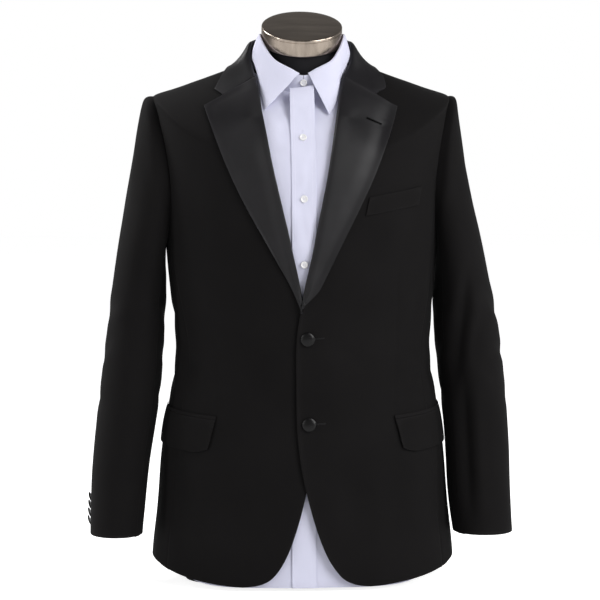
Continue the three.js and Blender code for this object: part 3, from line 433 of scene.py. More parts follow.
# %% Walking the quads row by row, from one corner
def grid_rows(bm, first):
    """The rows of points of a grid of quads. The first row is the shorter side at the corner."""
    paths = []
    for edge in first.link_edges:
        path = [first, edge.other_vert(first)]
        while len(path[-1].link_faces) > 1:
            before, here = path[-2:]
            beside = [e.other_vert(here) for e in here.link_edges if e.is_boundary]
            path.append(next(v for v in beside if v != before))
        paths.append(path)
    row = min(paths, key=len)
    rows, used = [row], set()
    while True:
        faces = [
            next((f for f in a.link_faces if b in f.verts and f not in used), None)
            for a, b in zip(row, row[1:])
        ]
        if None in faces:
            return rows
        used.update(faces)
        after = []
        for n, v in enumerate(row):
            face = faces[min(n, len(faces) - 1)]
            beside = [e.other_vert(v) for e in v.link_edges if face in e.link_faces]
            after.append(next(w for w in beside if w not in row))
        rows.append(after)
        row = after


# %% [markdown]
# The rows and columns of a piece give its UV map: the distance along the cloth in metres, so
# the weave has one scale everywhere. They also tell which of its four sides is a seam, where the
# cloth turns under and sinks a little, and which is a finished edge, which is pressed flat and
# gets a painted highlight in the cloth's material.
# The sides are called start and end (across the rows) and low and high (along them). What a
# sheet is made of, and how thick it is, depends on the kind of sheet.


# %% Making a subdivided surface pass through its own corners
def pass_through_points(obj, smooth):
    """Subdivision draws a curved sheet inward, so its points are moved out by what they lose.
    The result says how far they still are from where they should be, in millimetres."""
    smooth.levels = smooth.render_levels = 1
    count = len(obj.data.vertices)
    wanted = np.empty(count * 3)
    obj.data.vertices.foreach_get("co", wanted)
    held = wanted.copy()
    for _ in range(5):
        graph = bpy.context.evaluated_depsgraph_get()
        reached = np.empty(len(obj.evaluated_get(graph).data.vertices) * 3)
        obj.evaluated_get(graph).data.vertices.foreach_get("co", reached)
        held += wanted - reached[: count * 3]
        obj.data.vertices.foreach_set("co", held)
        obj.data.update()
    return np.abs(wanted - reached[: count * 3]).max() / MM


# %% The kinds of sheet: their finish, packed wall, cloth and the rounding of its edge (mm)
Sheet = namedtuple("Sheet", "finish material slot packed_wall cloth rounding")
SHEETS = {
    "shirt": Sheet("poplin", POPLIN, "shirting", 1.2, 0.9, 0.25),
    "shirt band": Sheet("poplin", POPLIN, "shirting", 1.2, 1.0, 0.3),
    "body": Sheet("wool", WOOL, "wool", 2.4, 2.0, 0.5),
    "sleeve": Sheet("wool", WOOL, "wool", 2.2, 1.9, 0.5),
    "facing": Sheet("satin", SATIN, "satin", 2.2, 2.0, 0.5),
    "flap": Sheet("wool", WOOL, "wool", 2.2, 2.0, 0.4),
    "trim": Sheet("wool", WOOL, "wool", 1.2, 1.0, 0.4),
}
ALL_ROUND = ("start", "end", "low", "high")
FRONT_CUT = {"seams": ("end", "high"), "edges": ("start", "low")}
PANEL_CUT = {"seams": ("start", "end", "high"), "edges": ("low",)}
BODY_AXIS = ((0, 5, 0), (0, 5, 800))


# %% A smooth sheet from a cloth solid, with its UV map and its seam and edge values
def nearest_middle(v):
    return abs(v.co.x)


def smooth_sheet(
    node, kind, levels=3, seams=(), edges=(), axis=BODY_AXIS, corner=nearest_middle, points=()
):
    """corner ranks the two lowest corners, and the rows start at the first. points are creased."""
    sheet = SHEETS[kind]
    bm = outer_face(node, sheet.packed_wall * MM, axis)
    join_slants(bm)
    uv = bm.loops.layers.uv.new("cloth")
    labels = ("seam", "edge", "across", "crease_vert")
    layers = {label: bm.verts.layers.float.new(label) for label in labels}
    ends = [v for v in bm.verts if len(v.link_faces) == 1]
    lowest = sorted(ends, key=lambda v: v.co.z)[:2]
    rows = grid_rows(bm, min(lowest, key=corner))
    place = {}
    for j, row in enumerate(rows):
        for i, v in enumerate(row):
            u = place[row[i - 1]][0] + (v.co - row[i - 1].co).length if i else 0.0
            w = place[rows[j - 1][i]][1] + (v.co - rows[j - 1][i].co).length if j else 0.0
            place[v] = (u, w)
            v[layers["across"]] = u / MM
    for f in bm.faces:
        for loop in f.loops:
            loop[uv].uv = place[loop.vert]
    sides = {
        "start": [row[0] for row in rows],
        "end": [row[-1] for row in rows],
        "low": rows[0],
        "high": rows[-1],
    }
    for label, chosen in [("seam", seams), ("edge", edges)]:
        for v in (v for side in chosen for v in sides[side]):
            v[layers[label]] = 1.0
    for j, i in points:
        rows[j][i][layers["crease_vert"]] = 1.0
    area = sum(f.calc_area() for f in bm.faces)
    obj = make_object(f"{node}_{sheet.finish}", bm, sheet.material)
    smooth = obj.modifiers.new("Smooth", "SUBSURF")
    smooth.boundary_smooth = "PRESERVE_CORNERS"
    off = pass_through_points(obj, smooth)
    smooth.levels = smooth.render_levels = levels
    settle(obj)
    return obj


# %% Reading a sheet's points and moving them along their normals
def points_of(obj):
    mesh = obj.data
    co = np.empty(len(mesh.vertices) * 3)
    mesh.vertices.foreach_get("co", co)
    normal = np.empty(len(mesh.vertices) * 3)
    mesh.vertex_normals.foreach_get("vector", normal)
    return co.reshape(-1, 3), normal.reshape(-1, 3)


def value_of(obj, label):
    values = np.empty(len(obj.data.vertices))
    obj.data.attributes[label].data.foreach_get("value", values)
    return values


def move_points(obj, co):
    obj.data.vertices.foreach_set("co", co.ravel())
    obj.data.update()


def press(obj, lift):
    """Moves every point of a sheet along its normal. lift is in millimetres, one for each point."""
    co, normal = points_of(obj)
    move_points(obj, co + normal * (lift * MM)[:, None])


def ramp(value, low, high):
    share = np.clip((value - low) / (high - low), 0, 1)
    return share * share * (3 - 2 * share)


# %% [markdown]
# Creases are listed one by one, each with its own ends, width and depth, because real ones are
# never even. A crease is a line drawn on the cloth as seen from the front, the back or the
# outer side. The cloth sinks along it and swells a little beside it, and it fades at both ends.
# Every panel reads the same table, so a crease runs over a seam without a step. A table lists
# for each view the two ends of each crease, across and up, its width and its depth, all in
# millimetres.


# %% How far a set of creases moves each point
VIEWS = {
    "front": ((0, 2), (0, -1, 0)),
    "back": ((0, 2), (0, 1, 0)),
    "left": ((1, 2), (1, 0, 0)),
    "right": ((1, 2), (-1, 0, 0)),
}


# The swell beside a crease: its height as a share of the depth, its place and its width
SWELL_SHARE, SWELL_OFF, SWELL_WIDE = 0.45, 1.9, 1.1


def creased(co, normal, creases):
    lift = np.zeros(len(co))
    rows = [(*VIEWS[view], line) for view, lines in creases.items() for line in lines]
    for axes, facing, (x0, z0, x1, z1, wide, deep) in rows:
        flat = co[:, axes] / MM
        a, b = np.array([x0, z0], float), np.array([x1, z1], float)
        along = (flat - a) @ (b - a) / ((b - a) @ (b - a))
        off = flat - (a + np.clip(along, -0.35, 1.35)[:, None] * (b - a))
        across = np.abs(off @ np.array([-(b - a)[1], (b - a)[0]]) / np.linalg.norm(b - a))
        distance = np.hypot(off[:, 0], off[:, 1])
        fade = ramp(along, -0.3, 0.35) * (1 - ramp(along, 0.65, 1.3))
        fade *= ramp(normal @ np.array(facing), 0.02, 0.4)
        trough = -np.exp(-((distance / wide) ** 2))
        swell = SWELL_SHARE * np.exp(-(((across - SWELL_OFF * wide) / (SWELL_WIDE * wide)) ** 2))
        lift += deep * fade * (trough + swell * (np.abs(distance - across) < wide))
    return lift


def drape(co, scale, depth, seed):
    """A slow, uneven swell over a cloth, in millimetres."""
    offset = Vector((seed, seed * 0.37, -seed))
    return depth * np.array([noise.noise(Vector(p) * scale + offset) for p in co])


def seam_hold(obj, co):
    """1 on the armhole's seam, where the sleeve and the body meet at an angle and must not part."""
    near = ramp(np.abs(co[:, 0]) / MM, 120, 170) * ramp(co[:, 2] / MM, 440, 500)
    return value_of(obj, "seam") ** 2 * near


# %% Letting a panel run a little past its seams, as its seam allowance does
SEAM_LAP = 0.7 * MM


def lap_seams(obj):
    bm = bmesh.new()
    bm.from_mesh(obj.data)
    seam = bm.verts.layers.float["seam"]
    moves = {}
    for v in bm.verts:
        if v.is_boundary and v[seam] > 0.5:
            inner = [e.other_vert(v) for e in v.link_edges if not e.is_boundary]
            away = Vector()
            for w in inner or [e.other_vert(v) for e in v.link_edges]:
                away += (v.co - w.co).normalized()
            moves[v] = away.normalized() * SEAM_LAP
    for v, move in moves.items():
        v.co += move
    bm.to_mesh(obj.data)
    bm.free()


# %% Giving a sheet its thickness and rounding its edges
ROUND_ANGLE = math.radians(55)


def finish_sheet(obj, node, kind):
    sheet = SHEETS[kind]
    wall = obj.modifiers.new("Wall", "SOLIDIFY")
    wall.thickness = sheet.cloth * MM
    wall.offset = -1
    rounding = obj.modifiers.new("Round", "BEVEL")
    rounding.width = sheet.rounding * MM
    rounding.segments = 2
    rounding.limit_method = "ANGLE"
    rounding.angle_limit = ROUND_ANGLE
    return register(settle(obj), sheet.slot, node)


# %% [markdown]
# The dress form comes first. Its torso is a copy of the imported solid, joined up and subdivided;
# the ring of its flat foot and the rim under the cap are creased so that they stay sharp. Only
# the jersey-covered neck shows, but the rest is finished too, for a look from below.


# %% The torso and neck of the form
STAYS_SHARP, JOINS_FLAT = math.radians(50), math.radians(40)
JERSEY_ROUND = 0.06


def form_torso():
    bm = bmesh.new()
    bm.from_mesh(nodes["form_torso"].data)
    bmesh.ops.remove_doubles(bm, verts=bm.verts, dist=MERGE)
    crease = bm.edges.layers.float.new("crease_edge")
    for e in bm.edges:
        if e.calc_face_angle(0) > STAYS_SHARP:
            e[crease] = 1.0
    bmesh.ops.join_triangles(
        bm, faces=bm.faces, angle_face_threshold=JOINS_FLAT, angle_shape_threshold=math.pi,
        topology_influence=1.0,
    )
    uv = bm.loops.layers.uv.new("cloth")
    for f in bm.faces:
        for loop in f.loops:
            co = loop.vert.co
            loop[uv].uv = (math.atan2(co.y, co.x) * JERSEY_ROUND, co.z)
    obj = make_object("form_torso_jersey", bm, JERSEY)
    smooth = obj.modifiers.new("Smooth", "SUBSURF")
    smooth.levels = smooth.render_levels = 2
    return register(settle(obj), "jersey", "form_torso")


torso = form_torso()
print("torso faces", len(torso.data.polygons))

# %% [markdown]
# The cap is turned metal: a profile spun round its axis and leaned forward with the neck. A lip
# and a fine groove under the top edge catch the light as the real one does. The UV map is laid
# round the axis, so the steel's tone changes round the band in upright stripes: painted
# reflections of the room round it. The top was brushed straight across, and a flat map keeps that
# from running together at the axis.


# %% Spinning a profile into a round piece
def spun(profile, steps):
    """A closed round solid from (radius, height) pairs in millimetres, from the bottom up."""
    bm = bmesh.new()
    verts = [bm.verts.new((r * MM, 0, h * MM)) for r, h in profile]
    edges = [bm.edges.new(pair) for pair in zip(verts, verts[1:])]
    bmesh.ops.spin(
        bm, geom=verts + edges, cent=(0, 0, 0), axis=(0, 0, 1), angle=2 * math.pi, steps=steps,
        use_merge=True,
    )
    bmesh.ops.remove_doubles(bm, verts=bm.verts, dist=MERGE / 2)
    bmesh.ops.recalc_face_normals(bm, faces=bm.faces)
    return bm


TOP_BRUSHING = (1.2, 2)


def unroll(bm, top=0.0):
    """UV round the axis. The flat top, nearer to the axis than top, is brushed straight across."""
    uv = bm.loops.layers.uv.new("cloth")
    for f in bm.faces:
        middle = f.calc_center_median()
        turn = math.atan2(middle.y, middle.x)
        flat = math.hypot(middle.x, middle.y) < top
        for loop in f.loops:
            co = loop.vert.co
            angle = math.atan2(co.y, co.x) if math.hypot(co.x, co.y) > MERGE else turn
            if abs(angle - turn) > math.pi:
                angle += math.copysign(2 * math.pi, turn - angle)
            across = (co.x * TOP_BRUSHING[0], co.y * TOP_BRUSHING[1])
            loop[uv].uv = across if flat else (angle, co.z + math.hypot(co.x, co.y))


# %% The cap
CAP_PROFILE = [
    (0, 0), (40, 0), (58.4, 0), (59.9, 0.5), (60.2, 1.6), (60.2, 12), (60.2, 21.2), (59.7, 21.5),
    (59.7, 21.9), (60.2, 22.2), (60.2, 24.4), (59.9, 25.3), (59.1, 25.9), (57.6, 26.1), (50, 26.3),
    (30, 26.5), (0, 26.6),
]
CAP_TILT, CAP_FOOT, CAP_FLAT_TOP = math.radians(22.5), 806.2 * MM, 57 * MM
cap_bm = spun(CAP_PROFILE, 128)
unroll(cap_bm, top=CAP_FLAT_TOP)
cap_bm.transform(Matrix.Translation((0, 0, CAP_FOOT)) @ Matrix.Rotation(CAP_TILT, 4, "X"))
cap = register(make_object("form_cap_steel", cap_bm, STEEL), "steel", "form_cap")
print("cap faces", len(cap.data.polygons))

# %% [markdown]
# The shirt is crisp poplin. Its two fronts meet under the placket, the back is one piece, and
# the collar is a standing band with a leaf turned down over it. Only the middle of the front
# and the collar show, so that is where the fine creases are.


# %% The shirt's fronts and back
SHIRT_CREASES = {
    "front": [
        (30, 690, 22, 570, 8, 2.0), (-27, 700, -25, 560, 5, 2.4), (-38, 690, -33, 600, 4, 1.8),
        (42, 650, 34, 590, 6, 1.4), (22, 575, 6, 500, 7, 0.8), (-26, 560, -14, 505, 6, 0.7),
        (44, 690, 34, 655, 7, 0.9),
    ],
    "back": [(40, 660, 70, 480, 22, 2.0), (-50, 650, -66, 500, 20, 1.8), (20, 330, 90, 250, 16, 1.6)],
}
NECK_RISE, SHIRT_SEAM_DEPTH = 3.2, 0.4


def shirt_panel(node, **options):
    obj = smooth_sheet(node, "shirt", **options)
    co, normal = points_of(obj)
    # The neck edge is sewn into the collar band, so it runs up behind the band's foot.
    x, z, seam = np.abs(co[:, 0]) / MM, co[:, 2] / MM, value_of(obj, "seam")
    co[:, 2] += NECK_RISE * MM * seam ** 3 * (co[:, 1] < 0) * (z > 700) * ramp(x, 75, 60)
    move_points(obj, co)
    swell = drape(co, scale=14, depth=0.5, seed=3.1)
    press(obj, creased(co, normal, SHIRT_CREASES) + swell - SHIRT_SEAM_DEPTH * seam ** 8)
    finish_sheet(obj, node, "shirt")


shirt_panel("shirt_front_left", levels=2, **FRONT_CUT)
shirt_panel("shirt_front_right", levels=2, **FRONT_CUT)
shirt_panel("shirt_back", levels=1, **PANEL_CUT)

# %% [markdown]
# The placket is a band folded on itself down the wearer's left front, stitched close to both
# edges. On the real shirt it runs up to the collar band, so its top is drawn up to it here, a
# little further at the wearer's left, and its left edge sinks towards the front it is sewn to.


# %% The placket
PLACKET_CREASES = {
    "front": [(-16, 700, 6, 716, 5, 0.8), (8, 640, 2, 590, 6, 0.5), (-8, 560, -2, 520, 5, 0.5)],
}
PLACKET_RISE, PLACKET_TILT, PLACKET_MIDDLE = 23 * MM, 0.16, -3 * MM
PLACKET_AHEAD, PLACKET_EDGE_DEPTH = 1.2 * MM, 0.6
placket = smooth_sheet("shirt_placket", "shirt band", edges=("start", "end"), seams=("low", "high"))
co, _ = points_of(placket)
top = ramp(co[:, 2] / MM, 676, 716)
co[:, 2] += top * (PLACKET_RISE + PLACKET_TILT * (co[:, 0] - PLACKET_MIDDLE))
co[:, 1] -= top * PLACKET_AHEAD
move_points(placket, co)
co, normal = points_of(placket)
lift = 0.35 * drape(co, scale=60, depth=1.0, seed=7.7) + creased(co, normal, PLACKET_CREASES)
press(placket, lift - PLACKET_EDGE_DEPTH * ramp(co[:, 0] / MM, 4, 14))
finish_sheet(placket, "shirt_placket", "shirt band")

# %% [markdown]
# The collar band stands round the neck and the leaf turns over it. Interlining keeps both
# smooth, so they get only the slightest swell, a crisp edge and a row of stitches along it.


# %% The collar band and the turned-down leaf
FOLD_RISE = 4.5 * MM


def around(v):
    return -v.co.x


def straighten_fold(obj):
    """The fold line runs straight from the neck's side to the button, so it is raised between."""
    co, _ = points_of(obj)
    x, z = np.abs(co[:, 0]) / MM, co[:, 2] / MM
    between = ramp(x, 3, 20) * ramp(x, 46, 26) * (co[:, 1] < 0)
    co[:, 2] += FOLD_RISE * between * ramp(z, 742, 760)
    move_points(obj, co)


stand = smooth_sheet("shirt_stand", "shirt band", edges=("start", "end"), corner=around)
straighten_fold(stand)
finish_sheet(stand, "shirt_stand", "shirt band")
leaf = smooth_sheet("shirt_leaf", "shirt band", edges=ALL_ROUND, corner=around)
straighten_fold(leaf)
co, _ = points_of(leaf)
press(leaf, drape(co, scale=30, depth=0.35, seed=5.5))
finish_sheet(leaf, "shirt_leaf", "shirt band")

# %% [markdown]
# The jacket's body is six panels: a front, a side and a back on each side. Wool over canvas
# hangs smooth, so the creases are broad and shallow: a drag from the closed button, a soft
# break beside the waist, the fall of the skirt, and similar ones over the back. The wearer's
# left side stands a little further out at the waist and hips, as the picture shows. A dart, a
# narrow groove where cloth was taken in, runs up each front from the pocket.

# %% The creases of the jacket's body
BODY_CREASES = {
    "front": [
        (170, 440, 162, 395, 9, 2.2), (188, 332, 168, 284, 9, 2.4), (150, 352, 176, 330, 8, 1.3),
        (-178, 372, -162, 286, 10, 2.2), (-150, 340, -176, 322, 8, 1.1), (30, 362, 96, 330, 12, 0.9),
        (-24, 366, -100, 338, 13, 0.8), (172, 600, 150, 500, 15, 1.5), (-172, 610, -148, 520, 16, 1.7),
        (128, 196, 140, 60, 18, 1.6), (-190, 190, -178, 60, 14, 2.0), (-96, 196, -84, 90, 18, 0.9),
        (60, 200, 74, 96, 16, 0.8),
    ],
    "left": [(-20, 420, 30, 372, 11, 2.0), (10, 330, -30, 300, 10, 1.6), (20, 230, 26, 80, 16, 1.8)],
    "right": [(-16, 410, 28, 380, 11, 1.8), (24, 324, -20, 296, 10, 1.5), (16, 220, 24, 90, 15, 1.7)],
    "back": [
        (130, 620, 108, 470, 20, 2.4), (-126, 630, -110, 450, 19, 2.2), (30, 420, 120, 372, 13, 2.2),
        (-22, 396, -124, 352, 12, 2.0), (40, 330, 134, 300, 11, 1.5), (-44, 318, -120, 306, 10, 1.2),
        (92, 230, 104, 60, 17, 1.8), (-86, 220, -112, 60, 18, 2.0), (12, 740, 60, 722, 9, 1.0),
        (-16, 738, -58, 724, 8, 0.9),
    ],
}
LEFT_FULLNESS, BODY_SEAM_DEPTH, FRONT_STANDS_OFF, BACK_SEAM_GAP = 3.4, 0.7, 1.5, 0.45
DART_X, DART_LEAN, DART_WIDTH, DART_DEPTH = 134, 0.03, 2.6, 0.6


def body_swell(co):
    """The slow swell of the body and the pockets on it."""
    return drape(co, scale=11, depth=1.1, seed=1.7)


def left_fuller(co):
    """How much further the wearer's left side stands out below the chest."""
    return LEFT_FULLNESS * ramp(co[:, 0] / MM, 120, 185) * ramp(co[:, 2] / MM, 470, 380)


def body_panel(node, **options):
    obj = smooth_sheet(node, "body", **options)
    co, normal = points_of(obj)
    x, z, seam = np.abs(co[:, 0]) / MM, co[:, 2] / MM, value_of(obj, "seam")
    held = seam_hold(obj, co)
    lift = (creased(co, normal, BODY_CREASES) + body_swell(co)) * (1 - held) + left_fuller(co)
    lift -= BODY_SEAM_DEPTH * seam ** 10 * (1 - held)
    in_front = (co[:, 1] < -0.05) * ramp(z, 236, 300) * ramp(z, 500, 430)
    from_dart = x - (DART_X + (z - 380) * DART_LEAN)
    lift -= DART_DEPTH * np.exp(-((from_dart / DART_WIDTH) ** 2)) * in_front
    if node == "jacket_front_left":
        # The buttoned front stands off the one below it, so its edge throws a dark line.
        lift += FRONT_STANDS_OFF * value_of(obj, "edge") ** 2 * ramp(z, 120, 200) * ramp(x, 60, 30)
    press(obj, lift)
    # The two backs are drawn together at the centre seam.
    co, _ = points_of(obj)
    centre_seam = seam ** 4 * (np.abs(co[:, 0]) < 4 * MM) * (co[:, 1] > 0)
    co[:, 0] -= np.sign(co[:, 0]) * BACK_SEAM_GAP * MM * centre_seam
    move_points(obj, co)
    lap_seams(obj)
    finish_sheet(obj, node, "body")
    return obj


# %% The six body panels
def nearest_front(v):
    return v.co.y


panels = {}
for side in ("left", "right"):
    panels[f"front_{side}"] = body_panel(f"jacket_front_{side}", **FRONT_CUT)
    body_panel(f"jacket_side_{side}", corner=nearest_front, **PANEL_CUT)
    body_panel(f"jacket_back_{side}", **PANEL_CUT)

# %% [markdown]
# Each sleeve is a wide top panel and a narrow under panel. The head is eased into the armhole,
# so it swells just past the seam. The wearer's left sleeve has a clear fold inside the elbow
# and a flat inner face below it; the right one hangs straighter.

# %% The creases of the sleeves
SLEEVE_CREASES = {
    "front": [
        (243, 452, 226, 306, 9, 5.0), (262, 400, 250, 340, 9, 1.6), (239, 296, 248, 108, 9, 5.0),
        (268, 330, 290, 300, 9, 1.2), (-262, 420, -236, 372, 10, 1.6), (-268, 348, -250, 318, 9, 1.5),
        (-290, 300, -262, 262, 10, 1.2), (-286, 170, -270, 120, 9, 0.9), (236, 640, 222, 560, 12, 1.4),
        (-236, 650, -222, 565, 12, 1.5),
    ],
    "left": [
        (-50, 430, 10, 392, 11, 2.2), (-40, 352, 6, 336, 9, 1.8), (30, 300, -16, 270, 10, 1.4),
        (-10, 640, 14, 540, 15, 1.4),
    ],
    "right": [
        (-46, 420, 12, 398, 11, 2.0), (-36, 360, 10, 330, 10, 1.7), (24, 290, -20, 262, 10, 1.3),
        (4, 650, -12, 560, 15, 1.5),
    ],
    "back": [
        (232, 430, 268, 400, 10, 2.4), (240, 372, 276, 352, 9, 2.0), (-230, 426, -266, 404, 10, 2.3),
        (-238, 366, -272, 350, 9, 1.9), (250, 250, 274, 150, 13, 1.3), (-252, 240, -276, 150, 13, 1.3),
    ],
}
SLEEVE_AXIS = {"left": ((272, -30, 100), (212, 6, 640)), "right": ((-276, -30, 100), (-214, 6, 640))}
SLEEVE_SEAM_DEPTH, HEAD_SINK, HEAD_TUCK = 0.6, 0.25, 1.1


def sleeve_panel(node, side, **options):
    obj = smooth_sheet(node, "sleeve", axis=SLEEVE_AXIS[side], corner=nearest_front, **options)
    co, normal = points_of(obj)
    held = seam_hold(obj, co)
    swell = drape(co, scale=13, depth=1.0, seed=9.3)
    lift = (creased(co, normal, SLEEVE_CREASES) + swell) * (1 - held)
    lift -= SLEEVE_SEAM_DEPTH * value_of(obj, "seam") ** 10 * (1 - held)
    # The cuff keeps its shape, so it moves less than the rest.
    lift *= ramp(co[:, 2] / MM, 66, 96) * 0.7 + 0.3
    press(obj, lift - HEAD_SINK * held)
    # The head is tucked into the armhole.
    co, _ = points_of(obj)
    co[:, 0] -= np.sign(co[:, 0]) * HEAD_TUCK * MM * held
    move_points(obj, co)
    lap_seams(obj)
    finish_sheet(obj, node, "sleeve")


# %% The four sleeve panels
for side in ("left", "right"):
    for part in ("top", "under"):
        sleeve_panel(f"sleeve_{part}_{side}", side, **PANEL_CUT)

# %% [markdown]
# The lapels and the collar are faced in satin. The satin floats over a canvas that is rolled,
# not pressed, so the face swells between the roll line and the edge, and slow ripples in it make
# the soft clouds of light that tell satin from plain cloth. The outer edge stands clear of the
# chest and throws a dark line on it. The wearer's left front laps over the right one, so the
# left lapel's foot runs out into its front and the right lapel's foot disappears behind that.


# %% The feet of the lapels and the point of the collar
LAPEL_FOOT_SINK, FOOT_PULL = 1.2, 0.92
COLLAR_POINT_PULL = (3.5, -0.5, -4.5)


def lapel_foot(obj, side):
    """Draws the foot of a lapel together, and returns how far it sinks. The left one is one cloth
    with its front, so it sinks into it. The right one ends in a point beside the left front."""
    co, _ = points_of(obj)
    z = co[:, 2] / MM
    foot = co[z < z.min() + 4].mean(0)
    print(side, "lapel foot at", [round(v / MM, 1) for v in foot])
    x, y = foot[:2] / MM
    if side == "left":
        near, point, size_left = ramp(z, 446, 424), (x - 3, y, 419), [0.4, 1.0, 0.6]
    else:
        near, point, size_left = ramp(z, 474, 434) ** 1.3, (-6.8, y + 1.0, 410), [0.10, 1.0, 0.3]
    drawn = np.array(point) * MM + (co - foot) * size_left
    move_points(obj, co + (drawn - co) * near[:, None] * FOOT_PULL)
    return LAPEL_FOOT_SINK * ramp(z, 456, 430) if side == "left" else 0.0


def sharpen_tip(obj, co):
    """The left end of the collar comes to a clear point above the notch."""
    near = np.hypot(co[:, 0] / MM - 120, co[:, 2] / MM - 742) / 9
    pull = np.exp(-(near ** 2)) * (co[:, 1] < 0)
    move_points(obj, co + pull[:, None] * np.array(COLLAR_POINT_PULL) * MM)


# %% The lapels and the collar
LAPEL_CREASES = {"front": [(110, 686.5, 130, 681, 3, 0.7)]}
COLLAR_TIPS = ((1, 0), (-2, 0))
ROLL_DEPTH, ROLL_MIDDLE, ROLL_WIDTH = 2.6, 12, 12
LAPEL_EDGE_OFF = 1.2


def satin_piece(node, ripple, swell, foot=None, **options):
    obj = smooth_sheet(node, "facing", **options)
    sunk = lapel_foot(obj, foot) if foot else 0
    co, normal = points_of(obj)
    edge = value_of(obj, "edge")
    lift = drape(co, scale=24, depth=ripple, seed=4.4)
    lift += drape(co, scale=60, depth=ripple * 0.3, seed=8.8)
    lift += swell * (1 - edge) ** 2 - sunk + creased(co, normal, LAPEL_CREASES)
    if foot:
        # The cloth turns over the roll line in a wide curve, so the face starts below its own level.
        z, across = co[:, 2] / MM, value_of(obj, "across")
        roll = np.exp(-(((across - ROLL_MIDDLE) / ROLL_WIDTH) ** 2))
        lift -= ROLL_DEPTH * roll * ramp(z, 425, 470) * ramp(z, 744, 700)
        # The outer edge isn't pressed to the chest, so it stands off and throws a dark line.
        lift += LAPEL_EDGE_OFF * edge ** 2 * ramp(across, 25, 45)
    else:
        sharpen_tip(obj, co)
    press(obj, lift)
    return finish_sheet(obj, node, "facing")


for side in ("left", "right"):
    lapel = satin_piece(f"lapel_{side}", 0.55, 0.5, foot=side, edges=("end", "high", "low"))
    panels[f"lapel_{side}"] = lapel
collar = satin_piece("jacket_collar", 0.4, 0.2, edges=ALL_ROUND, corner=around, points=COLLAR_TIPS)

# %% [markdown]
# The hip pockets have a flap that hangs from a narrow jet, and the chest pocket has a slanted
# welt. They are small pieces of the same wool, pressed hard, so they stay flat with a firm edge,
# and they follow the swell of the body under them.


# %% The flaps, the jets and the chest welt
def pocket_piece(node, kind):
    obj = smooth_sheet(node, kind, edges=ALL_ROUND)
    co, _ = points_of(obj)
    press(obj, body_swell(co) + drape(co, scale=40, depth=0.3, seed=6.1) + left_fuller(co))
    return finish_sheet(obj, node, kind)


for side in ("left", "right"):
    flap = pocket_piece(f"flap_{side}", "flap")
    jet = pocket_piece(f"jet_{side}", "trim")
welt = pocket_piece("chest_welt", "trim")

# %% [markdown]
# The jacket's buttons are metal shells covered in the lapel's satin: a smooth dome with a fine
# groove where the cover is tucked under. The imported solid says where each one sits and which
# way it points: its points are spread least along its own axis.


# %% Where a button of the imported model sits, and its direction
def button_place(node, away_from):
    """Sets a flat button on the cloth, facing away from a point (mm) inside the body or sleeve."""
    co = np.unique(np.round(np.array([v.co for v in nodes[node].data.vertices]), 6), axis=0)
    middle = co.mean(0)
    _, axes = np.linalg.eigh(np.cov((co - middle).T))
    axis = Vector(axes[:, 0])
    if axis.dot(Vector(middle) - Vector(away_from) * MM) < 0:
        axis = -axis
    low = ((co - middle) @ np.array(axis)).min()
    turn = Vector((0, 0, 1)).rotation_difference(axis).to_matrix().to_4x4()
    return Matrix.Translation(Vector(middle) + axis * low) @ turn


# The profile of a covered button: shares of its radius and of its thickness
COVER_PROFILE = [
    (0, 0), (0.6, 0), (0.84, 0), (0.9, 0.1), (0.985, 0.24), (0.955, 0.32), (0.995, 0.36),
    (0.985, 0.46), (0.93, 0.60), (0.82, 0.74), (0.64, 0.87), (0.36, 0.965), (0, 1),
]


def covered_button(node, radius, thickness, away_from, steps):
    bm = spun([(radius * r, thickness * h) for r, h in COVER_PROFILE], steps)
    unroll(bm)
    bm.transform(button_place(node, away_from))
    return register(make_object(node + "_covered", bm, SHADED_COVER), "satin", node)


# %% The front buttons and the cuff buttons
BODY_MIDDLE, CUFF_X = (0, 0, 300), 270
for n in (1, 2):
    covered_button(f"front_button_{n}", 10.5, 4.6, BODY_MIDDLE, 64)
for side, sign in (("left", 1), ("right", -1)):
    for n in (1, 2, 3, 4):
        covered_button(f"cuff_button_{side}_{n}", 7.3, 2.5, (sign * CUFF_X, -30, 108), 40)

# %% [markdown]
# Shirt buttons are turned from pearl: a raised rim round a shallow dish, with four holes and a
# thread crossing through them. The holes are cut with a Boolean, once, on a button that lies
# flat, and each place gets its own copy of the mesh.


# %% One shirt button, lying flat
PEARL_PROFILE = [
    (0, 0), (3.6, 0), (4.9, 0.25), (5.45, 0.8), (5.5, 1.25), (5.2, 1.75), (4.6, 1.98), (4.1, 1.85),
    (3.5, 1.35), (2.0, 1.2), (0, 1.2),
]
HOLE_OFF, HOLE_RADIUS = 1.05, 0.52 * MM


def pearl_button():
    button = make_object("pearl_pattern", spun(PEARL_PROFILE, 48), PEARL)
    cutter_bm = bmesh.new()
    for x, y in [(1, 1), (1, -1), (-1, 1), (-1, -1)]:
        bmesh.ops.create_cone(
            cutter_bm, cap_ends=True, segments=14, radius1=HOLE_RADIUS, radius2=HOLE_RADIUS,
            depth=4 * MM, matrix=Matrix.Translation(Vector((x * HOLE_OFF, y * HOLE_OFF, 1)) * MM),
        )
    cutter = make_object("hole_cutter", cutter_bm, PEARL)
    holes = button.modifiers.new("Holes", "BOOLEAN")
    holes.operation = "DIFFERENCE"
    holes.solver = "EXACT"
    holes.object = cutter
    settle(button)
    bpy.data.objects.remove(cutter)
    mesh = button.data
    bpy.data.objects.remove(button)
    return mesh


# %% Stitches: short, thin, six-sided bars laid end to end
def add_stitch(bm, start, end, radius):
    middle = (start + end) / 2
    turn = Vector((0, 0, 1)).rotation_difference(end - start).to_matrix().to_4x4()
    bmesh.ops.create_cone(
        bm, cap_ends=True, segments=6, radius1=radius, radius2=radius, depth=(end - start).length,
        matrix=Matrix.Translation(middle) @ turn,
    )


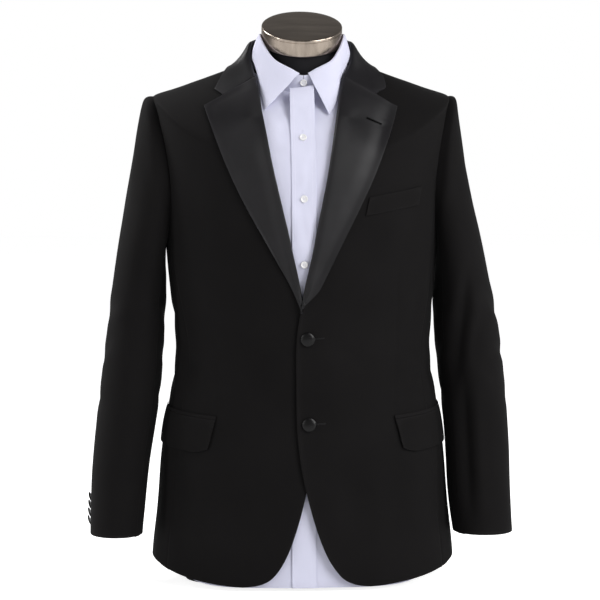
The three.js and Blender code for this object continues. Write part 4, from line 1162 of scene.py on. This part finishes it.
# %% The shirt buttons and their thread
COLLAR_MIDDLE = (0, 0, 600)
THREAD_RADIUS, THREAD_REACH, THREAD_HEIGHT = 0.22 * MM, 1.2, 1.35
pattern = pearl_button()
for label in ("1", "2", "3", "neck"):
    node = f"shirt_button_{label}"
    place = button_place(node, COLLAR_MIDDLE)
    mesh = pattern.copy()
    mesh.materials.clear()
    mesh.transform(place)
    register(make_object(node + "_pearl", mesh, PEARL), "pearl", node)
    thread = bmesh.new()
    for y in (HOLE_OFF, -HOLE_OFF):
        ends = [place @ (Vector((x, y, THREAD_HEIGHT)) * MM) for x in (-THREAD_REACH, THREAD_REACH)]
        add_stitch(thread, *ends, THREAD_RADIUS)
    register(make_object(node + "_thread", thread, WHITE_THREAD), "shirting")
print("a shirt button has", len(pattern.polygons), "faces")
bpy.data.meshes.remove(pattern)

# %% [markdown]
# Stitching is laid on the finished cloth. A ray from in front finds where a point of the
# picture lies on a piece, and the stitch is set just above that point. The placket is stitched
# along both edges, and each buttonhole is a narrow oval of tight stitches round its slit.


# %% Finding a point on a finished cloth, seen from the front
def surface(obj):
    return BVHTree.FromObject(obj, bpy.context.evaluated_depsgraph_get())


def on_front(tree, x, z, above):
    """The point of a cloth at x, z (mm) that is nearest the viewer, moved out by above (mm)."""
    point, normal, _, _ = tree.ray_cast(Vector((x * MM, -1, z * MM)), Vector((0, 1, 0)))
    if point is None:
        return None
    if normal.y > 0:
        normal = -normal
    return point + normal * (above * MM)


# %% Running stitches and buttonholes. Sizes are in millimetres
RUNNING_ABOVE, LIP_ABOVE, BAR_ABOVE = 0.05, 0.12, 0.2
SLIT_HALF, BAR_SIZE = 0.25, 1.3


def stitch_line(bm, tree, line, stitch, gap, radius):
    """Running stitches along a line of (x, z) points on the front of a cloth."""
    pitch = stitch + gap
    for (x0, z0), (x1, z1) in zip(line, line[1:]):
        count = max(1, round(math.hypot(x1 - x0, z1 - z0) / pitch))
        for n in range(count):
            shares = (n / count, (n + stitch / pitch) / count)
            spots = [(x0 + (x1 - x0) * s, z0 + (z1 - z0) * s) for s in shares]
            ends = [on_front(tree, x, z, RUNNING_ABOVE) for x, z in spots]
            if None not in ends and (ends[0] - ends[1]).length < 3 * pitch * MM:
                add_stitch(bm, *ends, radius * MM)


def buttonhole(bm, tree, start, end, half_width, radius, count):
    """Tight stitches across both lips of a slit, and a bar at each end."""
    (x0, z0), (x1, z1) = start, end
    length = math.hypot(x1 - x0, z1 - z0)
    ax, az = (x1 - x0) / length, (z1 - z0) / length

    def across(x, z, near, far, above, thick):
        ends = [on_front(tree, x - az * off, z + ax * off, above) for off in (near, far)]
        if None not in ends:
            add_stitch(bm, *ends, thick * MM)

    for n in range(count + 1):
        x, z = x0 + ax * length * n / count, z0 + az * length * n / count
        for side in (1, -1):
            across(x, z, SLIT_HALF * side, half_width * side, LIP_ABOVE, radius)
    for x, z in (start, end):
        across(x, z, -half_width, half_width, BAR_ABOVE, radius * BAR_SIZE)


# %% Stitching on the shirt: both edges of the placket, and its buttonholes
placket_front = surface(placket)
placket_stitches = bmesh.new()
for x in (-15.5, 9.5):
    edge_line = [(x, 440), (x, 560), (x, 690), (x, 728)]
    stitch_line(placket_stitches, placket_front, edge_line, 2.2, 0.8, 0.16)
for z in (482, 578, 668):
    buttonhole(placket_stitches, placket_front, (-3, z - 9), (-3, z + 9), 1.3, 0.16, 26)
register(make_object("placket_stitches", placket_stitches, WHITE_THREAD), "shirting")

# %% Stitching on the collar leaf, close to the edges of each point
leaf_front = surface(leaf)
leaf_stitches = bmesh.new()
for line in [
    [(-53, 748), (-56, 728), (-53.5, 716)],
    [(-53.5, 716), (-38, 733), (-22, 746), (-12, 752)],
    [(53, 748), (49, 728), (38, 710)],
    [(35, 709), (24, 728), (14, 744), (8, 752)],
]:
    stitch_line(leaf_stitches, leaf_front, line, 2.0, 0.8, 0.15)
register(make_object("leaf_stitches", leaf_stitches, WHITE_THREAD), "shirting")

# %% [markdown]
# The jacket's front buttonholes run out beside each button, towards the wearer's left, and the
# left lapel has the old flower hole, a slit in the satin near its point. The hole there isn't
# cut, so the flower hole is stitched in a darker, dull thread, and a line of it fills the slit:
# painted shade for the shadow in the slit.

# %% The jacket's buttonholes
coat_front = surface(panels["front_left"])
coat_holes = bmesh.new()
for x, z in ((2, 373), (4, 248)):
    buttonhole(coat_holes, coat_front, (x + 7, z + 0.4), (x + 24, z + 1.4), 1.1, 0.2, 34)
register(make_object("front_buttonholes", coat_holes, BLACK_THREAD), "satin")
lapel_face = surface(panels["lapel_left"])
lapel_hole = bmesh.new()
buttonhole(lapel_hole, lapel_face, (91.3, 694.7), (112.7, 685.4), 1.5, 0.26, 34)
# This line of dark thread in the uncut slit is painted shade.
stitch_line(lapel_hole, lapel_face, [(92, 694.4), (112, 685.7)], 1.8, 0.05, 0.45)
register(make_object("lapel_buttonhole", lapel_hole, SLIT_SHADE_THREAD), "satin")
made = [o.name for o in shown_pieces()]
print("stitched pieces", [name for name in made if name.endswith(("stitches", "holes", "hole"))])

# %% [markdown]
# The stage is a plain pale floor, which glows for the camera only, so that it is as white as in
# a catalogue picture and adds no light. The world does the same: it is white to the camera, and
# gives the object a gentler light that is brighter at the horizon than overhead, which draws
# its outline. A tall key lamp stands at the right and a weak fill at the left. A lamp over the
# wearer's right shoulder lifts it from the dark, and a narrow strip on each side draws the
# edges of the sleeves.


# %% The floor
FLOOR_REACH, FLOOR_TONE, FLOOR_GLOW = 9, 0.85, 0.84


def stage_floor():
    bm = bmesh.new()
    bmesh.ops.create_grid(bm, x_segments=8, y_segments=8, size=FLOOR_REACH)
    material, tree, shader = new_material("Pale floor", {"Roughness": 0.9, "Specular_IOR_Level": 0.1})
    seen = add_node(tree, "LightPath").outputs["Is Camera Ray"]
    glow = math_node(tree, "MULTIPLY", seen, FLOOR_GLOW)
    tone = {"Base Color": (FLOOR_TONE, FLOOR_TONE, FLOOR_TONE, 1), "Emission Color": (1, 1, 1, 1)}
    feed(tree, shader, {**tone, "Emission Strength": glow})
    make_object("floor", bm, material)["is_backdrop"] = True


stage_floor()
print("floor reaches", FLOOR_REACH, "m each way")


# %% The world's light
AT_HORIZON, OVERHEAD, OVERHEAD_FROM = 0.34, 0.12, 0.8


def studio_world():
    world = bpy.data.worlds.new("Studio")
    scene.world = world
    world.use_nodes = True
    tree = world.node_tree
    place = add_node(tree, "TexCoord").outputs["Generated"]
    up = add_node(tree, "SeparateXYZ", {0: place}).outputs["Z"]
    fall = {"Value": up, "From Max": OVERHEAD_FROM, "To Min": AT_HORIZON, "To Max": OVERHEAD}
    light = add_node(tree, "MapRange", fall).outputs["Result"]
    seen = add_node(tree, "LightPath").outputs["Is Camera Ray"]
    strength = add_node(tree, "Mix", {"A": light, "B": 1.0, "Factor": seen}).outputs["Result"]
    feed(tree, tree.nodes["Background"], {"Color": (1, 1, 1, 1), "Strength": strength})


studio_world()
print("world light from", AT_HORIZON, "at the horizon to", OVERHEAD, "overhead")


# %% The lamps: place, aim, width and height (m) and power (W)
LAMPS = {
    "key": ((2.3, -2.3, 2.2), (0, 0, 0.5), (1.8, 3.4), 112),
    "fill": ((-2.5, -2.7, 1.4), (0, 0, 0.4), (1.8, 2.4), 14),
    "shoulder": ((-1.5, 0.6, 2.0), (-0.1, 0, 0.6), (0.9, 0.9), 34),
    "left strip": ((-2.3, -0.9, 1.1), (0, 0, 0.55), (0.25, 1.8), 14),
    "right strip": ((2.2, -0.5, 1.1), (0, 0, 0.6), (0.2, 1.6), 12),
}
for name, (place, aim, size, power) in LAMPS.items():
    light = bpy.data.lights.new(name, "AREA")
    light.shape = "RECTANGLE"
    light.size, light.size_y = size
    light.energy = power
    obj = bpy.data.objects.new(name, light)
    scene.collection.objects.link(obj)
    obj.location = place
    obj.rotation_euler = (Vector(aim) - Vector(place)).to_track_quat("-Z", "Y").to_euler()
print("lamps", list(LAMPS))

# %% [markdown]
# The camera stands 4.2 metres off, a little to the wearer's right and level with the chest,
# looking slightly down, with a long lens. That is the viewing angle of the picture. The object
# is a pixel and a half off the middle of the picture, and the lens is shifted by that.

# %% The camera
DISTANCE, HEIGHT, AZIMUTH, PITCH = 4.2, 0.76, math.radians(-3), math.radians(4.63)
SENSOR, LENS, SHIFT = 36, 168, -1.5 / 600
camera_data = bpy.data.cameras.new("camera")
camera_data.sensor_width = SENSOR
camera_data.lens = LENS
camera_data.shift_x = SHIFT
camera_data.clip_end = 60
camera = bpy.data.objects.new("camera", camera_data)
scene.collection.objects.link(camera)
camera.location = (DISTANCE * math.sin(AZIMUTH), -DISTANCE * math.cos(AZIMUTH), HEIGHT)
camera.rotation_euler = (math.pi / 2 - PITCH, 0, AZIMUTH)
scene.camera = camera
scene.view_settings.view_transform = "Standard"
print("camera at", [round(v, 3) for v in camera.location])

# %% How far the made pieces reach past the packed box
made_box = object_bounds()
for low_or_high, a, b in zip(("low", "high"), cad_box, made_box):
    print(low_or_high, "mm beyond the packed box", [round((q - p) / MM, 1) for p, q in zip(a, b)])
